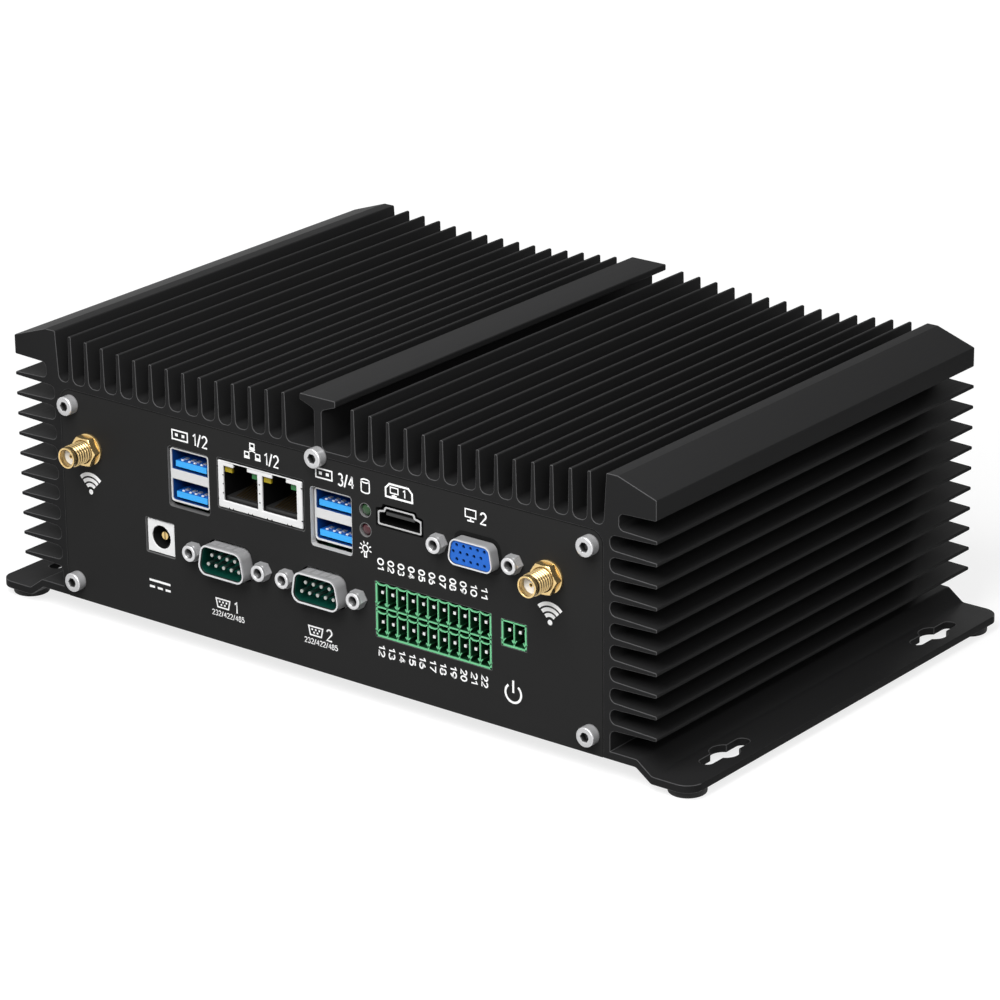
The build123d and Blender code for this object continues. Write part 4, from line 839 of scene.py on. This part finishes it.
video_shell = finish("digital_shell", (0.002, 0.002, 0.002), (0.004, 0.004, 0.004), (0.3, 0.42), gloss=0.15)
painted_shade_behind_front(video_shell, (0.42, 0.42, 0.42), 0.08, 0.25)
dress(video_shell, "digital_port_shell")
soften(0.08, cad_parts["digital_port_shell"])

# Status lights
# Two small clear rods, tinted green and red, that end in domes inside the panel's holes. A thin grey ring
# stands round each of them.

light_x, light_heights = middle_x("status_light_upper"), {"upper": 50.7, "lower": 45.1}
rod, dome, rod_end = 1.78, 1.3, 7.2
swell = np.radians(np.linspace(0, 90, 10))
rows = [(0.05 + dome - dome * math.cos(t), rod * math.sin(t), 1) for t in swell]
rows += [(rod_end, rod, 1), (rod_end, 0, 1)]
for name, colour, dark, light in (("upper", "green", (0.008, 0.035, 0.009), (0.012, 0.055, 0.014)),
                                  ("lower", "red", (0.036, 0.006, 0.010), (0.055, 0.010, 0.014))):
    lamp = finish(f"lamp_{colour}", dark, light, (0.2, 0.28), gloss=0.45)
    piece(f"{colour}_light", turned([(light_x, light_heights[name])], rows), lamp,
          (f"status_light_{name}",))
ring_grey = finish("ring_grey", (0.14, 0.14, 0.14), (0.2, 0.2, 0.2), (0.35, 0.5), metal=0.2)
rings = [bar(arc(light_x, h, 1.96, 1.96, 0, 352.5, 48), 0.13, (0.02, 1.2), True)
         for h in light_heights.values()]
piece("light_rings", rings, ring_grey, smooth=False)

# Terminal headers
# Green moulded blocks. Thin walls part the cells, the upper wall of each row dips in a shallow wave over
# every way, and small barbs under the dividers key the plug. A square plated pin stands in each cell.


def header(x, h, wide, tall, ways, rows):
    """Walls of a header as bars that run nine millimetres into it, and a closed block behind them. With two
    rows, the upper walls dip over each way by 0.4 mm times the squared sine of the place, which is taken
    1.5 times and cut off at one."""
    floor_d, end_d = 9.0, 12.0
    depth = (0.0, floor_d)
    wall, side_wall, foot_wall, rim, web = 0.34, 0.5, 0.44, 0.8, 1.55
    parts = [prism(rectangle(x, h, wide, tall), (floor_d, end_d))]
    inner = (tall - 2 * rim - (rows - 1) * web) / rows
    edge, foot = wide / 2, h - tall / 2
    for side in (-1, 1):
        wall_x = x + side * (edge - side_wall / 2)
        parts.append(bar([(wall_x, foot), (wall_x, h + tall / 2)], side_wall, depth))
    parts.append(bar([(x - edge, foot + 0.25), (x + edge, foot + 0.25)], foot_wall, depth))
    dividers = [x + (k - ways / 2) * terminal_pitch for k in range(1, ways)]
    across = np.linspace(x - edge, x + edge, 16 * ways + 1)
    ways_along = (across - x) / terminal_pitch + ways / 2
    dip = (0.4 if rows > 1 else 0.0) * np.clip(1.5 * np.sin(ways_along * math.pi) ** 2, 0, 1)
    for row in range(rows):
        top = h + tall / 2 - rim - row * (inner + web)
        low = top - inner
        lift = 0.45 if row == 0 else 0.15
        parts.append(bar(np.stack([across, top + lift - dip], 1), wall, depth))
        if row < rows - 1:
            parts.append(bar([(x - edge, low - 0.15), (x + edge, low - 0.15)], wall, depth))
        parts += [bar([(place, low - 0.3), (place, top + 0.5)], wall, depth) for place in dividers]
        for place in [x - edge + 0.45] + dividers + [x + edge - 0.45]:
            barb = [(0, 0.1), (0.8, 1.2), (0.6, 1.4), (0, 0.6), (-0.6, 1.4), (-0.8, 1.2)]
            parts.append(prism(np.array(barb) + (place, low), depth))
    if rows > 1:
        parts.append(prism(rectangle(x, h, wide, 1.2), (2.0, floor_d)))
        parts += [bar([(place, h - 0.9), (place, h + 0.9)], wall, (0.0, 3.0)) for place in dividers]
    return parts


# Painted shade: the walls are bright green only at their front and near black deeper in.
terminal = finish("terminal_green", (0.002, 0.016, 0.006), (0.003, 0.028, 0.010), (0.4, 0.5), gloss=0.25)
painted_shade_behind_front(terminal, (0.15, 0.50, 0.25), 0.05, 0.5)
walls = header(terminal_x, terminal_h, 39.1, 15.8, terminal_ways, 2)
piece("terminal_header_walls", walls, terminal, ("terminal_header_body",), smooth=False)
walls = header(small_x, small_h, 8.2, 7.4, 2, 1)
piece("small_header_walls", walls, terminal, ("small_header_body",), smooth=False)
# Painted shade: the pins are light only at their tips and dark behind them.
pin_plate = finish("pin_plate", (0.03, 0.04, 0.03), (0.05, 0.06, 0.05), (0.3, 0.4), metal=0.3, gloss=0.2)
painted_shade_behind_front(pin_plate, (0.72, 0.72, 0.72), 0.45, 0.7)
dress(pin_plate, "terminal_header_pins", "small_header_pins")

# Antenna connectors
# Turned brass sleeves, gold plated, with a fine outside thread, a white insulator and a centre socket. A
# hexagon nut and a round washer hold each one in the panel.

gold = finish("gold_plate", (0.64, 0.45, 0.19), (0.78, 0.58, 0.28), (0.18, 0.28), metal=0.9, grain=0.0003,
              patch=0.003, with_painted_shade=True)
antenna_places = [(-83.9, 46.45), (77.15, 46.45)]
fine_steps = 72

# The sleeve's outline from the bottom of its bore round to its crimped tail. Over the threaded part the
# radius is the root plus a flattened triangle wave of the depth over the pitch plus the angle over a whole
# turn.
pitch, root, thread, thread_start = 0.94, 2.8, 0.37, -8.25
# The third number of each row is its painted shade, low deep in the bore.
mouth = np.array([(0.0, 0.0, 0.3), (0.0, 2.35, 0.3), (-7.7, 2.35, 0.45), (-9.3, 2.35, 0.7), (-9.62, 2.5, 1),
                  (-9.7, 2.62, 1), (-9.7, 2.82, 1), (-9.62, 2.95, 1), (-9.45, 3.0, 1), (-8.75, 3.0, 1),
                  (-8.55, 2.9, 0.6), (-8.45, 2.72, 0.25)])
run = np.arange(thread_start, 1.95, pitch / 10)
threaded = np.stack([run, np.full(len(run), root), np.ones(len(run))], 1)
tail = np.array([(2.0, 2.75, 1), (2.0, 4.6, 1), (3.5, 4.6, 1), (3.5, 1.7, 1), (8.5, 1.7, 1), (8.5, 0.0, 1)])
sleeve_rows = np.concatenate([mouth, threaded, tail])
sleeve_radii = np.repeat(sleeve_rows[:, 1:2], fine_steps, 1)
wave = np.abs((run[:, None] / pitch + np.arange(fine_steps) / fine_steps) % 1.0 * 2 - 1)
height = np.clip(1.6 * wave - 0.4, 0, 1) * np.clip((run[:, None] - thread_start) / 0.4, 0, 1)
span = slice(len(mouth), len(mouth) + len(run))
sleeve_radii[span] = root + thread * height
sleeves = turned(antenna_places, sleeve_rows, sleeve_radii)

# Both sleeves share one array of painted shades, which paints shade into the grooves of the thread.
sleeve_painted_shade = sleeves[0][2]
start = (len(mouth) - 1) * fine_steps
sleeve_painted_shade[start:start + height.size] = 0.03 + 0.97 * height.reshape(-1)
piece("antenna_sleeves", sleeves, gold, ("antenna_bodies",))

# The nut: a hexagon eight millimetres across its flats, turned down at both ends so that its radius is never
# more than that of a cone.
# The inner rows of the nut and the washer get a lower painted shade than their outer rows.
nut_rows = np.array([
    (-0.8, 3.22, 0.5), (-3.05, 3.22, 0.5), (-3.28, 3.45, 0.8), (-3.3, 3.6, 1), (-3.3, 3.86, 1),
    (-3.26, 3.98, 1), (-3.16, 4.16, 1), (-3.06, 4.33, 1), (-2.96, 4.5, 1), (-2.86, 4.7, 1),
    (-1.05, 4.7, 1), (-0.9, 4.55, 0.9), (-0.8, 4.45, 0.8)])
nut_radii = np.repeat(nut_rows[:, 1:2], fine_steps, 1)
nut_radii[4:] = np.minimum(nut_radii[4:], hexagon(8.0, fine_steps))
piece("antenna_hexagon_nuts", turned(antenna_places, nut_rows, nut_radii, closed=True), gold,
      ("antenna_nuts",))
washer_rows = [(0.0, 3.25, 0.5), (-0.7, 3.25, 0.6), (-0.8, 3.35, 0.8), (-0.8, 4.4, 1), (-0.72, 4.55, 1),
               (-0.55, 4.6, 1), (-0.1, 4.6, 0.9), (0.0, 4.55, 0.7)]
piece("antenna_round_washers", turned(antenna_places, washer_rows, closed=True), gold,
      ("antenna_washers",))
white = finish("white_insulator", (0.74, 0.74, 0.73), (0.82, 0.82, 0.81), (0.4, 0.55), gloss=0.3)
dress(white, "antenna_insulators")

# Floor, light and camera
# A pale floor that fades into a white surround. One broad soft lamp hangs overhead, a weaker one stands on
# the right and a small one low behind. A long lens looks from where the photograph was taken.


def pale_floor():
    """A round sheet well past the view, closed like a coin: points (r cos a, r sin a) at two heights."""
    radius, thickness, around = 6, 0.05, 64
    ring = np.arange(around)
    angle = ring * 2 * math.pi / around
    circle = np.stack([radius * np.cos(angle), radius * np.sin(angle)], 1)
    points = np.concatenate([np.insert(circle, 2, height, 1) for height in (0, -thickness)])
    follow = np.roll(ring, -1)
    faces = [ring.tolist(), (ring[::-1] + around).tolist()]
    faces += np.stack([ring + around, follow + around, follow, ring], 1).tolist()
    mesh = bpy.data.meshes.new("floor")
    mesh.from_pydata(points.tolist(), [], faces)
    floor = bpy.data.objects.new("floor", mesh)
    bpy.context.scene.collection.objects.link(floor)
    return floor


def seen_directly(nodes, link):
    """A socket that is one where a ray comes from the camera, a reflection or through glass, else nothing."""
    path = nodes.new("ShaderNodeLightPath")
    total = path.outputs["Is Camera Ray"]
    for name in ("Is Glossy Ray", "Is Transmission Ray"):
        more = nodes.new("ShaderNodeMath")
        more.operation = "MAXIMUM"
        link(total, more.inputs[0])
        link(path.outputs[name], more.inputs[1])
        total = more.outputs["Value"]
    return total


floor = pale_floor()
floor_skin = bpy.data.materials.new("floor_white")
floor_skin.use_nodes = True
nodes, link = floor_skin.node_tree.nodes, floor_skin.node_tree.links.new
shader = nodes["Principled BSDF"]
shader.inputs["Base Color"].default_value = (0.3, 0.3, 0.3, 1)
shader.inputs["Roughness"].default_value = 1.0
shader.inputs["Specular IOR Level"].default_value = 0.0
glow = nodes.new("ShaderNodeMath")
glow.operation = "MULTIPLY"
link(seen_directly(nodes, link), glow.inputs[0])
place = nodes.new("ShaderNodeTexCoord")
distance = nodes.new("ShaderNodeVectorMath")
distance.operation = "LENGTH"
fade = nodes.new("ShaderNodeMapRange")
fade.inputs["From Min"].default_value = 0.2
fade.inputs["From Max"].default_value = 0.7
fade.inputs["To Min"].default_value = 0.78
fade.inputs["To Max"].default_value = 1.0
link(place.outputs["Object"], distance.inputs[0])
link(distance.outputs["Value"], fade.inputs["Value"])
link(fade.outputs["Result"], glow.inputs[1])
shader.inputs["Emission Color"].default_value = (1, 1, 1, 1)
link(glow.outputs["Value"], shader.inputs["Emission Strength"])
floor.data.materials.append(floor_skin)

world = bpy.data.worlds.new("surround")
bpy.context.scene.world = world
world.use_nodes = True
nodes, link = world.node_tree.nodes, world.node_tree.links.new
back = nodes["Background"]
back.inputs["Color"].default_value = (1, 1, 1, 1)
level = nodes.new("ShaderNodeMapRange")
level.inputs["To Min"].default_value = 0.26
level.inputs["To Max"].default_value = 1.0
link(seen_directly(nodes, link), level.inputs["Value"])
link(level.outputs["Result"], back.inputs["Strength"])


def soft_lamp(name, place, aim, size, power):
    """A square lamp at a place, turned towards a point."""
    lamp = bpy.data.lights.new(name, "AREA")
    lamp.shape = "SQUARE"
    lamp.size = size
    lamp.energy = power
    thing = bpy.data.objects.new(name, lamp)
    thing.location = place
    way = Vector(aim) - Vector(place)
    thing.rotation_euler = way.to_track_quat("-Z", "Y").to_euler()
    bpy.context.scene.collection.objects.link(thing)


soft_lamp("overhead_lamp", (0.08, -0.36, 0.46), (0, -0.05, 0.04), 0.38, 4.1)
soft_lamp("side_lamp", (0.5, -0.4, 0.36), (0.08, -0.05, 0.04), 0.3, 1.1)
soft_lamp("back_lamp", (-0.2, 0.8, 0.075), (0, 0.08, 0.04), 0.12, 0.9)

azimuth, elevation, roll = math.radians(38.18), math.radians(20.68), math.radians(-0.6)
ahead = np.array([-math.sin(azimuth) * math.cos(elevation), math.cos(azimuth) * math.cos(elevation),
                  -math.sin(elevation)])
right = np.array([math.cos(azimuth), math.sin(azimuth), 0.0])
above = np.cross(right, ahead)
across = math.cos(roll) * right + math.sin(roll) * above
upward = -math.sin(roll) * right + math.cos(roll) * above
camera_data = bpy.data.cameras.new("camera")
camera_data.lens = 155.93
camera_data.sensor_width = 36.0
camera_data.clip_start = 0.05
camera_data.clip_end = 50.0
camera = bpy.data.objects.new("camera", camera_data)
place = (0.7072, -0.89255, 0.4642)
camera.matrix_world = Matrix([(across[k], upward[k], -ahead[k], place[k]) for k in range(3)] + [(0, 0, 0, 1)])
bpy.context.scene.collection.objects.link(camera)
bpy.context.scene.camera = camera

bpy.context.scene.view_settings.view_transform = "Standard"
bpy.context.view_layer.update()
